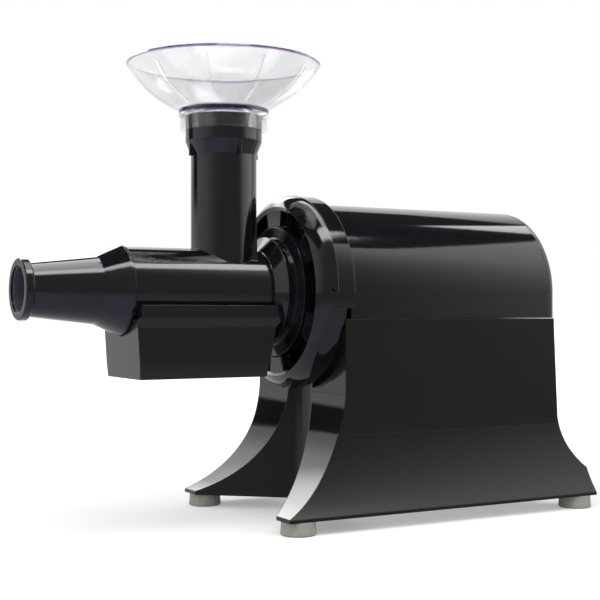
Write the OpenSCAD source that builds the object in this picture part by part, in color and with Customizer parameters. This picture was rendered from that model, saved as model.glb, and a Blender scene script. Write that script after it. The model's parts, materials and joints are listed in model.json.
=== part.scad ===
// Horizontal masticating juicer: a motor base on four curved legs, a bayonet juicer body
// with a feed throat and a nozzle, a sliding screen holder and a clear feed funnel.
// X runs from the nozzle to the motor's rear, Y to the far side, and the table is at Z = 0.
// Places along X are measured from the line of the front feet, and place() centres the whole.

/* [Stance] */
// Height of the motor and cutter axis above the table
axis_h = 200; // [190:1:215]
// Place of the rear feet behind the rear wall at the seam
rear_foot_out = 15; // [12:0.5:18]
// Place of the feet inside the skirt's edge
foot_in = 13; // [12:0.5:15]
// Radius of a rubber foot where it stands
foot_r = 15; // [12:0.5:16]
// Height of a rubber foot below the base
foot_h = 11.5; // [8:0.5:16]

/* [Base housing] */
// Reach of the flared skirt beyond the side walls
skirt_out = 24.25; // [20:0.25:28]
// Height of the axis above the seam between base and cover
seam_drop = 24; // [20:1:28]
// Wall of the base housing
base_wall = 4; // [3:0.5:5]
// Front wall, measured from the front feet
front_wall_x = 52.3; // [50:0.5:55]
// Draft of the rear wall from the seam down to the leg's curve
rear_draft = 4.2; // [2:0.1:6]
// Reach of the front toes ahead of the front feet
toe_front = 15; // [15:0.5:20]
// Reach of the rear toes behind the rear feet
toe_rear = 15.5; // [15.5:0.5:20]
// Start of the front legs' curve above the hub's lowest point
leg_rise = 5.5; // [3:0.5:8]
// Height of the front toes' edge
toe_lip = 3.5; // [2:0.5:6]
// Height where the rear legs' curve starts
rear_arc_z = 93; // [90:1:96]
// Height of the rear toes' edge
rear_lip = 24.5; // [20:0.5:28]
// Height where the side walls' flare starts
side_arc_z = 85; // [82:1:88]
// Height of the skirt's edge
side_lip = 2.9; // [2:0.1:5]
// Width of a front leg at its toe
leg_w = 23.5; // [20:0.5:28]
// Width of a rear leg at its toe
rear_leg_w = 21.5; // [18:0.5:26]
// Half the gap between the front legs at its inner corner
gap_inner_y = 20; // [17:1:22]
// Rounding of the hollow wall between the front legs beyond its corners
gap_wall_out = 4; // [3:0.5:6]

/* [Cover] */
// Wall of the top cover
cover_wall = 3; // [2:0.5:4]
// Rise of the raised band above the rest of the cover
band_rise = 6.25; // [4:0.25:8]
// Length of the raised band
band_l = 16.3; // [14:0.5:18]
// Height of the ends of the band above the seam
band_end = 9; // [6:1:12]
// Depth of the rounded rear end cap
cap_l = 8; // [6:0.5:10]
// Rounding of the end cap's rim
cap_round = 6; // [4:0.5:7]

/* [Hub] */
// Step from the cover's band up to the hub
hub_step = 1; // [0.5:0.1:1.5]
// Radius of the bell's rounded section
bell_arc_r = 20.5; // [20:0.5:22]
// Set-in of the bell's mouth from its widest point
bell_in = 11; // [9:0.5:13]
// Width of the bell's lip round its mouth
mouth_lip = 3; // [2:0.5:4]
// Depth of the hub from its mouth to the front wall
hub_l = 27.3; // [26:0.5:29]
// Thickness of the hub's floor behind the juicer body
hub_floor_t = 11.1; // [10.5:0.1:13]
// Length of the flange below the band
hub_rim_l = 5.8; // [4:0.2:7]
// Number of bayonet lugs on the hub and on the juicer body
lug_n = 6; // [5:1:7]
// Angle that one lug covers
lug_deg = 21; // [16:1:22]

/* [Juicer body] */
// Outer radius of the barrel
barrel_r = 36.5; // [35.5:0.5:38]
// Wall of the barrel
barrel_wall = 4; // [3:0.5:4.5]
// Reach of the nozzle ahead of the front feet
nozzle_reach = 207; // [195:1:220]
// Reach of the nozzle's end ring beyond the nozzle
nozzle_ring_out = 3.2; // [2:0.1:5]
// Length of the nozzle's end ring
nozzle_ring_l = 7; // [5:0.5:9]
// Outer radius of the nozzle behind its ring
nozzle_r = 22; // [20.5:0.5:23]
// Wall of the nozzle
nozzle_wall = 4; // [2.5:0.1:5]
// Length of the nozzle's straight bore
nozzle_bore_l = 12.5; // [10:0.5:20]
// Outer radius of the nozzle at the shoulder
nozzle_root_r = 28.4; // [27:0.2:30]
// Place of the shoulder's edge ahead of the front feet
shoulder_reach = 120; // [116:1:122]
// Step from the barrel up to the shoulder's edge
shoulder_step = 1.5; // [1:0.1:2.5]
// Length of the shoulder cone
shoulder_l = 23; // [18:1:28]
// Place of the feed throat's axis ahead of the front feet
throat_reach = 24.2; // [20:0.2:30]
// Outer radius of the feed throat
throat_r = 28.7; // [27:0.1:29.5]
// Wall of the feed throat
throat_wall = 3.6; // [2.5:0.1:4]
// Height of the feed throat's top above the axis
throat_h = 152; // [136:0.5:166]
// Reach of the band at the throat's top beyond the throat
throat_band_out = 4.7; // [3:0.1:6]
// Step from the barrel up to its neck
neck_step = 11.5; // [9:0.5:13]
// Step from the neck up to the bayonet flange
flange_step = 9.5; // [8:0.5:11]
// Height of a bayonet lug above the flange
lug_h = 11.5; // [9:0.5:14]

/* [Screen holder] */
// Reach of the holder's rails beyond the barrel's sides
rail_out = 5; // [4.5:0.5:7]
// Height of the rails
rail_h = 10.5; // [10:0.5:12]
// Top of the rails below the axis
rail_drop = 12.5; // [11:0.5:14]
// Set-in of the holder's box below its rails
box_in = 3; // [2:0.5:5]
// Depth of the holder's open lower edge below the axis
box_drop = 73.5; // [68:0.5:80]
// Wall of the holder
box_wall = 3; // [2:0.5:3.5]

/* [Funnel] */
// Radius of the funnel's rim
funnel_r = 84.6; // [76:0.2:90]
// Height of the funnel's rim above the bowl's root
funnel_h = 39.8; // [30:0.1:50]
// Thickness of the funnel's floor where it rests on the throat
funnel_floor_t = 5.1; // [3:0.1:7]
// Wall of the funnel
funnel_wall = 2.2; // [1.8:0.1:2.6]
// Length of the funnel's collar
collar_l = 12; // [9:0.5:18]
// Thickness of the funnel's collar
collar_t = 4.3; // [3:0.1:6]
// Number of thin ribs inside the bowl
funnel_rib_n = 10; // [6:1:12]

/* [Cutter and screen] */
// Gap between the cutter's teeth and the barrel
cutter_gap = 0.9; // [0.7:0.1:2.5]
// Reach of the blades beyond the cutter's core
blade_out = 6.1; // [4.5:0.1:9]
// Rows of blades round the cutter
blade_n = 7; // [5:1:8]
// Thickness of a blade
blade_t = 1.8; // [1.2:0.1:2.5]
// Pitch of the saw teeth along a blade
tooth_pitch = 7.5; // [6:0.5:10]
// Diameter of the screen's holes
screen_hole_d = 3; // [2:0.2:3.6]

/* [Motor] */
// Air between the motor and the cover
motor_air = 10.75; // [8:0.25:14]
// Length of the motor's shell
motor_l = 112; // [104:1:120]
// Length of the stator's lamination stack
stack_l = 62; // [50:1:66]
// Ring of the stator outside its slots
yoke_t = 9.4; // [7:0.1:12]
// Radius of the shaft under the cutter
shaft_r = 8; // [7:0.25:8.25]
// Radius of the shaft in its front bearing
journal_r = 8.5; // [8.3:0.1:9.5]
// Number of stator slots
slot_n = 24; // [18:6:30]
// Blades of the cooling fan
fan_n = 7; // [5:1:9]

/* [Rear panel] */
// Room behind the shaft's end for the switch and the cord
rear_air = 47.7; // [44:0.1:60]
// Depth of the rocker switch's middle below the seam
switch_drop = 34; // [30:1:40]
// Depth of the cord inlet's middle below the switch
inlet_drop = 36; // [34:1:40]
// Bore radius of the cord gland
gland_bore_r = 4; // [3:0.25:5]

/* [Hidden] */
$fn = 96;
fine_fn = 32;
// Cuts run past the faces that they open by this much
over = 1;
// Gap between pieces of one body, and between pieces that move past each other
seat = 0.1;
gap = 0.4;
run_gap = 0.04;

// Colours
black_gloss = [0.05, 0.05, 0.055];
black_satin = [0.09, 0.085, 0.08];
rubber_grey = [0.62, 0.61, 0.57];
clear_tint = [0.86, 0.87, 0.9, 0.35];
steel = [0.74, 0.75, 0.77];
dull_steel = [0.5, 0.51, 0.53];
copper = [0.72, 0.42, 0.2];
nylon_white = [0.9, 0.89, 0.85];
cast_grey = [0.66, 0.67, 0.68];

// Radii, from the barrel outwards
barrel_in_r = barrel_r - barrel_wall;
shoulder_r = barrel_r + shoulder_step;
neck_r = barrel_r + neck_step;
flange_r = neck_r + flange_step;
body_lug_r = flange_r + lug_h;
lug_reach_gap = 3.5;
recess_r = body_lug_r + lug_reach_gap;
mouth_r = recess_r + mouth_lip;
hub_r = mouth_r + bell_in;
band_r = hub_r - hub_step;
spigot_in = 3;
spigot_r = band_r - spigot_in;
cover_r = band_r - band_rise;
motor_r = cover_r - cover_wall - motor_air;
body_w = cover_r * 2;
skirt_w = body_w + skirt_out * 2;
foot_pitch_y = skirt_w - foot_in * 2;

// Lengths of the motor, from the front wall to the rear wall
motor_setback = 22;
motor_x0 = front_wall_x + motor_setback;
motor_x1 = motor_x0 + motor_l;
brg_setback = 6;
front_brg_r = 20;
front_brg_w = 12;
front_brg_x = front_wall_x + brg_setback;
rear_brg_r = 17.5;
rear_brg_w = 11;
rear_brg_x = motor_x1 + brg_setback;
shaft_rear_l = 30;
shaft_end_x = rear_brg_x + rear_brg_w + shaft_rear_l;
rear_wall_x = shaft_end_x + rear_air;
foot_pitch_x = rear_wall_x + rear_foot_out;

// Heights
seam_z = axis_h - seam_drop;
throat_top_z = axis_h + throat_h;
funnel_low_z = throat_top_z + gap;
bowl_z0 = funnel_low_z + funnel_floor_t;
funnel_z = bowl_z0 + funnel_h;
box_low_z = axis_h - box_drop;
switch_z = seam_z - switch_drop;
inlet_z = switch_z - inlet_drop;

// Base: each curve leaves its wall straight down and ends at the edge of a toe or of the skirt
function curve_r(out, down) = (out * out + down * down) / (out * 2);
base_z = foot_h;
rear_toe_x = foot_pitch_x + toe_rear;
arc_bite = 0.15;
bend_share = 1 / 15;
leg_arc_z = axis_h - hub_r + leg_rise;
leg_arc_r = curve_r(front_wall_x + toe_front, leg_arc_z - base_z - toe_lip);
front_arc_x = front_wall_x - leg_arc_r;
rear_arc_r = curve_r(rear_toe_x - rear_wall_x - rear_draft, rear_arc_z - base_z - rear_lip);
rear_arc_x = rear_wall_x + rear_draft + rear_arc_r - arc_bite;
side_arc_r = curve_r(skirt_out, side_arc_z - base_z - side_lip);
side_arc_y = body_w / 2 + side_arc_r;
gap_front_y = skirt_w / 2 - leg_w;
rear_gap_y = skirt_w / 2 - rear_leg_w;
gap_wall_r = gap_inner_y + gap_wall_out;
gap_top_setback = 1.5;
gap_corner_x = front_wall_x + arc_bite + gap_top_setback;
gap_top_rise = 6;
gap_top_z = axis_h - hub_r + gap_top_rise;
gap_circle_x = gap_corner_x - sqrt(gap_wall_r * gap_wall_r - gap_inner_y * gap_inner_y);
gap_back_x = gap_circle_x + gap_wall_r;
pad_rise = 1.2;
pad_x = rear_wall_x + rear_draft + pad_rise;
rear_gap_x = pad_x;
rear_gap_flare = 21;
shift_x = (nozzle_reach - rear_toe_x) / 2;
front_opening_r = motor_r + gap;

// Hub
mouth_x = front_wall_x - hub_l;
hub_floor_x = front_wall_x - hub_floor_t;
bell_shift = 1.9;
bell_arc_x = hub_floor_x + bell_shift;
bell_arc_y = hub_r - bell_arc_r;
seal_r = 17;
hub_bore_gap = 2;
hub_bore_r = journal_r + hub_bore_gap;
seal_lip = 4;
pin_hole_l = 5;
screw_past = 5;
hub_screw_in = 17.5;
hub_screw_circle = motor_r - hub_screw_in;
hub_screw_n = 4;
drain_r = 8.5;
drain_in = 2.5;
pin_hole_r = 1.6;
pin_hole_back = 5;

// Cover
band_x0 = hub_floor_x + gap;
cover_x0 = band_x0 + band_l;
cap_forward = 6;
cap_x0 = rear_wall_x - cap_forward;
cap_end_x = cap_x0 + cap_l;
vent_w = 4;
vent_pitch = 10;
vent_n = 9;
vent_l = 34;
cap_plate_t = 3;
cap_screw_in = 13.25;
cap_screw_r = cover_r - cap_screw_in;
cap_screw_deg = [25, 155];
cap_boss_r = 5;
cap_boss_l = 14;
cap_boss_x1 = cap_end_x - cap_plate_t - seat;

// Bottom plate and its bosses
plate_t = 2;
plate_x0 = gap_back_x + base_wall + gap;
plate_x1 = rear_gap_x - base_wall - gap;
plate_side_gap = 2.5;
plate_half_y = skirt_w / 2 - base_wall - plate_side_gap;
plate_rise = 1;
plate_z = base_z + plate_rise;
plate_vent_l = 60;
plate_vent_w = 4;
plate_vent_pitch = 11;
plate_vent_n = 5;
plate_vent_y = -20;
plate_vent_shares = [0.4, 1.9];
boss_r = 6;
boss_h = 22;
boss_web = 18;
boss_x = [plate_x0 + boss_r + gap, plate_x1 - boss_r - gap];
boss_y = plate_half_y - boss_r;
screw_r = 1.9;
screw_head_r = 3.8;
screw_head_h = 2.2;
head_top_share = 0.75;
screw_end_gap = 2;
screw_l = 12;
foot_bore_r = 2.6;
foot_recess_r = 5.5;
foot_recess_h = 6;
foot_taper = 0.9;
foot_round = 1.2;

// Bayonet: the hub's lugs stand in front of the body's lugs
body_lug_t = 5;
gasket_t = 1.8;
flange_back_x = hub_floor_x - gap - gasket_t;
body_lug_x = flange_back_x - body_lug_t;
lug_gap = 0.5;
hub_lug_t = 6.5;
hub_lug_x = body_lug_x - lug_gap - hub_lug_t;
hub_lug_r = flange_r + lug_gap * 2;
lug_first_deg = 27.6;

// Juicer body
nozzle_bore_r = nozzle_r - nozzle_wall;
nozzle_ring_r = nozzle_r + nozzle_ring_out;
nozzle_x = -nozzle_reach;
shoulder_x = -shoulder_reach;
nozzle_root_x = shoulder_x - shoulder_l;
nozzle_ring_back = nozzle_x + nozzle_ring_l;
nozzle_bore_x = nozzle_x + nozzle_bore_l;
ring_step = 0.8;
ring_edge = 0.8;
nozzle_lip = 1.6;
shoulder_edge_l = 2.5;
throat_x = -throat_reach;
throat_in_r = throat_r - throat_wall;
throat_band_r = throat_r + throat_band_out;
throat_mouth_h = 40;
throat_mouth_z = axis_h + throat_mouth_h;
throat_mouth_out = 0.5;
throat_band_h = 22;
throat_band_z = throat_top_z - throat_band_h;
throat_cone_h = 12;
throat_rib_n = 4;
throat_rib_w = 2.4;
throat_rib_in = 0.6;
throat_rib_h = 13.5;
neck_setback = 34;
neck_x = hub_floor_x - neck_setback;
neck_cone_l = 7.5;
neck_straight = 8;
step_x = neck_x + neck_cone_l + neck_straight;
flange_edge = 2;
flange_wall = 5;
web_low_y = 27;
web_top_y = 13;
web_low_out = 19.5;
web_top_out = 25;
web_low_x = throat_x + web_low_out;
web_top_x = throat_x + web_top_out;
web_t = 12;
web_h = 85;
web_top_z = axis_h + web_h;
web_low_z = axis_h + barrel_in_r / 2;
web_foot_h = 3;
rail_w = (barrel_r + rail_out) * 2;
box_w = rail_w - box_in * 2;
tongue_y = rail_w / 2 - box_wall - gap;
tongue_h = 4.6;
rail_top_z = axis_h - rail_drop;
tongue_inset = 0.1;
tongue_z = rail_top_z - box_wall + tongue_inset - tongue_h;
rail_setback = 3;
rail_x0 = shoulder_x + rail_setback;
rail_clear = 1;
rail_x1 = neck_x + neck_cone_l - rail_clear;

// Screen: it lies in a rebate of the slot in the barrel's underside
slot_start = 10;
slot_x0 = shoulder_x + slot_start;
slot_end_wall = 16;
slot_x1 = neck_x - slot_end_wall;
slot_half_y = 17;
rebate_half_y = 21;
screen_seat = 1.4;
rebate_r = barrel_in_r + screen_seat;
screen_t = 1;
screen_rim = 2.5;
screen_rows = 4;
screen_cols = 15;
screen_row_deg = 13;

// Screen holder
rail_low_z = rail_top_z - rail_h;
bevel_h = 8;
box_top_z = rail_low_z - bevel_h;
fold_h = 12.5;
fold_z = box_low_z + fold_h;
fold_in = 1.5;
box_setback = 0.3;
box_front_x = shoulder_x + box_setback;
box_front_rake = 3;
channel_x0 = box_front_x + box_front_rake + box_wall;
box_rear_top_in = 6;
box_rear_low_in = 15;
box_rear_top_x = rail_x1 - box_rear_top_in;
box_rear_low_x = rail_x1 - box_rear_low_in;
holder_cut_r = shoulder_r + gap;
holder_neck_gap = holder_cut_r - barrel_r;

// Funnel
funnel_throat_r = throat_band_r + gap;
collar_r = funnel_throat_r + collar_t;
collar_z = throat_top_z - collar_l;
bowl_root_out = 1.2;
bowl_root_r = collar_r + bowl_root_out;
bowl_sag_r = 3.3;
bowl_sag_z = 4;
rib_t = 1.2;
rib_h = 2.2;
bowl_steps = 14;
bowl_slope = 45;

// Shaft and bearings
rear_journal_r = 7.5;
rotor_seat_r = 11;
stack_x = motor_x0 + (motor_l - stack_l) / 2;
motor_wall = 2.4;
stator_r = motor_r - motor_wall - seat;
slot_depth = 12;
slot_w = 4.6;
slot_lip_w = 2;
slot_lip_h = 1.6;
stator_bore_r = stator_r - yoke_t - slot_depth - slot_lip_h;
rotor_r = stator_bore_r - gap;
winding_l = 16;
winding_gap = 3;
winding_h = 13;
winding_edge = 1;
winding_round = 2;
winding_in_r = stator_bore_r + winding_gap;
winding_out_r = winding_in_r + winding_h;
bolt_in = 4;
bolt_circle = stator_r - bolt_in;
bolt_r = 2.3;
bolt_head_r = 4.2;
bolt_head_h = 3.2;
bell_t = 3.5;
brg_lip = 2;
brg_groove = 1;
brg_shares = [0.3, 0.35, 0.68, 0.72];
rear_bell_x = rear_brg_x + rear_brg_w + brg_lip;
rear_hole_r = rear_journal_r + brg_lip;
bell_window_n = 6;
brg_wall = 4;
end_ring_l = 6;
end_ring_in = 8;
end_ring_step = 5;
ring_hole_l = 4;
ring_hole_r = 5;
shaft_tip_in = 14;
shaft_tip_x = shoulder_x + shaft_tip_in;
shaft_flat = 1.2;
journal_l = 3;
ring_setback = 3;
ring_t = 1.2;
ring_h = 1.8;
fan_setback = 9;
fan_x = rear_brg_x + rear_brg_w + fan_setback;
fan_in = 9.5;
fan_r = motor_r - fan_in;
fan_hub_r = 15;
fan_l = 14;
fan_blade_t = 2;
fan_disc_t = 2;

// Cutter
cutter_r = barrel_in_r - cutter_gap;
core_r = cutter_r - blade_out;
core_cap = 6;
core_x0 = shaft_tip_x - core_cap;
journal_x = hub_floor_x - journal_l;
core_x1 = journal_x - gap;
nose_l = 20;
nose_r = 13;
nose_round = 3;
core_edge = 1.5;
core_step = 6;
core_bore_r = shaft_r + seat;
blade_front = 4;
blade_back = 2;
blade_x0 = core_x0 + blade_front;
blade_x1 = neck_x - blade_back;
blade_sink = 5;
blade_first_deg = 14;
tooth_h = 2.2;
tooth_shares = [0.2, 0.45, 0.9];
cutter_hub_r = 20;
back_hole_gap = 2;
back_hole_r = cutter_hub_r + back_hole_gap;
flute_r = 3.2;
flute_out = 1.3;
flute_deg = 18;
flute_n = 3;

// Start gear and wiring parts
governor_w = 5;
governor_x = rear_brg_x - governor_w * 2 - brg_lip;
switch_plate_x = rear_brg_x + seat;
governor_r = 24;
governor_flat_y = 18;
governor_hub = 4;
switch_plate_t = 2;
switch_plate_r = 36;
cap_r = 17.5;
cap_len = 72;
cap_lug_y = 6;
cap_lug_l = 6;
cap_forward_x = 30;
cap_x = foot_pitch_x / 2 - cap_forward_x;
cap_y = -34;
clamp_t = 1.5;
cap_z = plate_z + plate_t + cap_r + clamp_t;
clamp_w = 16;
clamp_foot = 14;
clamp_foot_t = 2.2;
block_l = 46;
block_w = 20;
block_h = 16;
block_setback = 60;
block_x = cap_x + block_setback;
block_y = 30;
block_ways = 4;
cradle_front_in = 18;
cradle_rear_in = 26;
cradle_x = [motor_x0 + cradle_front_in, motor_x1 - cradle_rear_in];
cradle_t = 8;
cradle_low = 12;
cradle_z = axis_h - motor_r - cradle_low;
cradle_h = 34;
cradle_side_gap = 2.5;
cradle_half_y = body_w / 2 - base_wall - cradle_side_gap;
ledge_w = 12;
ledge_h = 14;
ledge_end = 8;
ear_h = 10;
screw_deep = 8;
cradle_screw_y = cradle_half_y - ledge_w / 2;
cradle_mid_y = cradle_half_y - ledge_w - gap;

// Rear switch and cord gland
pad_w = 46;
pad_h = 34;
pad_low_h = 26;
bezel_w = 36;
bezel_h = 24;
bezel_t = 2.2;
opening_w = 30;
opening_h = 19;
body_depth = 20;
rocker_w = 24;
rocker_h = 14;
rocker_gap = 0.6;
rocker_out = 3.4;
rocker_deg = 8;
rocker_pin_in = 4;
rocker_pin_r = 1.5;
rocker_pin_l = 1.2;
gland_r = 10;
gland_out = 7;
gland_in = 12;
gland_neck_r = 7.4;
gland_wall = 2;

module place() translate([shift_x, 0, 0]) children();

// A solid of revolution about the machine's axis, from a profile of [x, radius] points
module turned(points, fn = $fn)
    translate([0, 0, axis_h]) rotate([0, 90, 0]) rotate([0, 0, 90])
        rotate_extrude($fn = fn) polygon([for (p = points) [p[1], p[0]]]);

// A cylinder or cone along X about the machine's axis
module rod(x0, x1, r0, r1 = undef)
    translate([x0, 0, axis_h]) rotate([0, 90, 0])
        cylinder(h = x1 - x0, r1 = r0, r2 = is_undef(r1) ? r0 : r1);

// Copies set round the machine's axis
module round_axis(n, first = 0)
    for (i = [0 : n - 1])
        translate([0, 0, axis_h]) rotate([first + i * 360 / n, 0, 0]) children();

// A block between two corners
module block(a, b)
    translate(a) cube(b - a);

// The base's outline from the side, with its legs cut by two circles
module base_side(inset = 0)
    difference() {
        polygon([
            [-toe_front + inset, base_z - (inset > 0 ? over : 0)],
            [rear_toe_x - inset, base_z - (inset > 0 ? over : 0)],
            [rear_toe_x - inset, rear_arc_z - rear_arc_r * bend_share],
            [rear_wall_x + rear_draft - inset, rear_arc_z - rear_arc_r * bend_share],
            [rear_wall_x - inset, seam_z + (inset > 0 ? over : 0)],
            [front_wall_x + inset, seam_z + (inset > 0 ? over : 0)],
            [front_wall_x + inset, leg_arc_z - leg_arc_r * bend_share],
            [-toe_front + inset, leg_arc_z - leg_arc_r * bend_share]
        ]);
        translate([front_arc_x, leg_arc_z]) circle(r = leg_arc_r + inset + arc_bite);
        translate([rear_arc_x, rear_arc_z]) circle(r = rear_arc_r + inset);
    }

// The base's outline from the front, with its skirt flared by two circles
module base_front(inset = 0)
    difference() {
        polygon([
            [-skirt_w / 2 + inset, base_z - over],
            [skirt_w / 2 - inset, base_z - over],
            [skirt_w / 2 - inset, side_arc_z - side_arc_r * bend_share],
            [body_w / 2 - inset, side_arc_z - side_arc_r * bend_share],
            [body_w / 2 - inset, seam_z + over * 2],
            [-body_w / 2 + inset, seam_z + over * 2],
            [-body_w / 2 + inset, side_arc_z - side_arc_r * bend_share],
            [-skirt_w / 2 + inset, side_arc_z - side_arc_r * bend_share]
        ]);
        for (s = [-1, 1])
            translate([s * side_arc_y, side_arc_z]) circle(r = side_arc_r + inset + arc_bite);
    }

module base_form(inset = 0)
    intersection() {
        rotate([90, 0, 0]) linear_extrude(height = skirt_w + over * 2, center = true)
            base_side(inset);
        translate([-toe_front - over, 0, 0]) rotate([90, 0, 90])
            linear_extrude(height = rear_toe_x + toe_front + over * 2) base_front(inset);
    }

// Plan of the gap between the front legs
module leg_gap_plan() {
    polygon([
        [-toe_front - over, -gap_front_y - over], [gap_corner_x, -gap_inner_y],
        [gap_corner_x, gap_inner_y], [-toe_front - over, gap_front_y + over]
    ]);
    translate([gap_circle_x, 0]) circle(r = gap_wall_r);
}

module base_housing() place() color(black_satin) difference() {
    union() {
        difference() {
            base_form();
            // Inside of the housing, behind the gap between the front legs
            difference() {
                base_form(base_wall);
                block([-toe_front, -skirt_w, 0],
                    [gap_back_x + base_wall, skirt_w, gap_top_z + base_wall]);
                block([rear_gap_x - base_wall, -skirt_w, 0], [rear_toe_x, skirt_w, rear_arc_z]);
            }
        }
        // Ledges that carry the motor's cradle
        for (x = cradle_x, s = [-1, 1])
            block([x - ledge_end, s > 0 ? cradle_half_y - ledge_w : -cradle_half_y - base_wall,
                    cradle_z - ledge_h],
                [x + cradle_t + ledge_end, s > 0 ? cradle_half_y + base_wall : ledge_w - cradle_half_y,
                    cradle_z - seat]);
        // Bosses of the bottom plate, cut to the flared walls
        intersection() {
            base_form();
            for (x = boss_x, s = [-1, 1])
                translate([x, s * boss_y, plate_z + plate_t + seat]) {
                    cylinder(h = boss_h, r = boss_r);
                    block([-boss_r, s > 0 ? 0 : -boss_web, 0], [boss_r, s > 0 ? boss_web : 0, boss_h]);
                }
        }
        // Flat pads for the switch and the cord gland
        block([rear_wall_x - base_wall, -pad_w / 2, switch_z - pad_h / 2],
            [pad_x, pad_w / 2, switch_z + pad_h / 2]);
        block([rear_wall_x - base_wall, -pad_low_h / 2, inlet_z - pad_low_h / 2],
            [pad_x, pad_low_h / 2, inlet_z + pad_low_h / 2]);
    }
    translate([0, 0, base_z - over]) linear_extrude(height = gap_top_z - base_z + over)
        leg_gap_plan();
    // Gap between the rear legs
    translate([0, 0, base_z - over]) linear_extrude(height = rear_arc_z - base_z)
        polygon([
            [rear_gap_x, rear_gap_flare - rear_gap_y], [rear_toe_x + over, -rear_gap_y],
            [rear_toe_x + over, rear_gap_y], [rear_gap_x, rear_gap_y - rear_gap_flare]
        ]);
    // Round notch behind the hub, through the front wall
    rod(front_wall_x - over, gap_back_x + over, front_opening_r);
    for (x = [0, foot_pitch_x], s = [-1, 1])
        translate([x, s * foot_pitch_y / 2, base_z - over]) cylinder(h = screw_l, r = screw_r);
    for (x = boss_x, s = [-1, 1])
        translate([x, s * boss_y, plate_z]) cylinder(h = screw_l, r = screw_r);
    for (x = cradle_x, s = [-1, 1])
        translate([x + cradle_t / 2, s * cradle_screw_y, cradle_z - screw_deep])
            cylinder(h = screw_deep, r = screw_r);
    block([rear_wall_x - base_wall - over, -opening_w / 2, switch_z - opening_h / 2],
        [pad_x + over, opening_w / 2, switch_z + opening_h / 2]);
    translate([rear_wall_x - base_wall - over, 0, inlet_z]) rotate([0, 90, 0])
        cylinder(h = pad_x - rear_wall_x + base_wall + over * 2, r = gland_neck_r + seat);
}

module bottom_plate() place() color(dull_steel) difference() {
    translate([plate_x0, -plate_half_y, plate_z])
        cube([plate_x1 - plate_x0, plate_half_y * 2, plate_t]);
    for (x = boss_x, s = [-1, 1])
        translate([x, s * boss_y, plate_z - over]) cylinder(h = plate_t + over * 2, r = screw_r + seat);
    for (k = [0, 1], i = [0 : plate_vent_n - 1])
        translate([plate_x0 + plate_vent_l * plate_vent_shares[k],
                (i - (plate_vent_n - 1) / 2) * plate_vent_pitch - plate_vent_w / 2
                    + (k == 0 ? -plate_vent_y : plate_vent_y),
                plate_z - over])
            cube([plate_vent_l, plate_vent_w, plate_t + over * 2]);
}

// A pan-head screw that points up from its head at the origin
module screw_up(r = screw_r, head_r = screw_head_r, head_h = screw_head_h, l = screw_l) {
    cylinder(h = l, r = r - seat);
    translate([0, 0, -head_h]) cylinder(h = head_h, r1 = head_r * head_top_share, r2 = head_r);
}

module bottom_plate_screws() place() color(steel)
    for (x = boss_x, s = [-1, 1])
        translate([x, s * boss_y, plate_z]) screw_up(l = screw_l - screw_end_gap);

module foot_at(x, y) place() color(rubber_grey)
    translate([x, y, 0]) rotate_extrude()
        polygon([
            [foot_recess_r, 0], [foot_r - foot_round, 0], [foot_r, foot_round],
            [foot_r - foot_taper, foot_h], [foot_bore_r, foot_h],
            [foot_bore_r, foot_recess_h], [foot_recess_r, foot_recess_h]
        ]);
module foot_front_near() foot_at(0, -foot_pitch_y / 2);
module foot_front_far() foot_at(0, foot_pitch_y / 2);
module foot_rear_near() foot_at(foot_pitch_x, -foot_pitch_y / 2);
module foot_rear_far() foot_at(foot_pitch_x, foot_pitch_y / 2);

module foot_screws() place() color(steel)
    for (x = [0, foot_pitch_x], s = [-1, 1])
        translate([x, s * foot_pitch_y / 2, foot_recess_h])
            screw_up(l = foot_h - foot_recess_h + screw_l - screw_end_gap);

// Cover: half tube with straight lower walls, a raised band in front
module cover_outline(r)
    union() {
        translate([0, axis_h]) circle(r = r);
        translate([-r, seam_z - over * 2]) square([r * 2, axis_h - seam_z + over * 2]);
    }
module top_cover() place() color(black_gloss) difference() {
    union() {
        difference() {
            union() {
                translate([cover_x0 - over, 0, 0]) rotate([90, 0, 90])
                    linear_extrude(height = cap_x0 - cover_x0 + over - seat) cover_outline(cover_r);
                rod(band_x0, cover_x0, band_r);
            }
            rod(band_x0 - over, front_wall_x + gap, spigot_r + seat);
            rod(front_wall_x - over, cover_x0 + over, cover_r - cover_wall);
            translate([cover_x0 - over, 0, 0]) rotate([90, 0, 90])
                linear_extrude(height = cap_x0) cover_outline(cover_r - cover_wall);
        }
        for (a = cap_screw_deg) cap_boss(a);
    }
    for (a = cap_screw_deg) cap_screw_hole(a, cap_x0 - cap_boss_l + cap_boss_r, cap_end_x);
    block([band_x0 - over, -hub_r - over, 0], [rear_toe_x, hub_r + over, seam_z + gap]);
    block([band_x0 - over, -hub_r - over, 0], [cover_x0, hub_r + over, seam_z + band_end]);
}
// A boss in the cover that an end cap screw bites into
module cap_boss(a)
    translate([0, 0, axis_h]) rotate([a - 90, 0, 0]) {
        intersection() {
            translate([cap_x0 - cap_boss_l, 0, 0]) rotate([0, 90, 0])
                cylinder(h = cap_boss_l - seat, r = cover_r - cover_wall / 2);
            block([cap_x0 - cap_boss_l, -cap_boss_r, cap_screw_r], [cap_x0, cap_boss_r, cover_r]);
        }
        translate([cap_x0 - cap_boss_l, 0, cap_screw_r]) rotate([0, 90, 0])
            cylinder(h = cap_boss_x1 - cap_x0 + cap_boss_l, r = cap_boss_r);
    }
module cap_screw_hole(a, x0, x1)
    translate([0, 0, axis_h]) rotate([a - 90, 0, 0]) translate([x0, 0, cap_screw_r]) rotate([0, 90, 0])
        cylinder(h = x1 - x0, r = screw_r);

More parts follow.
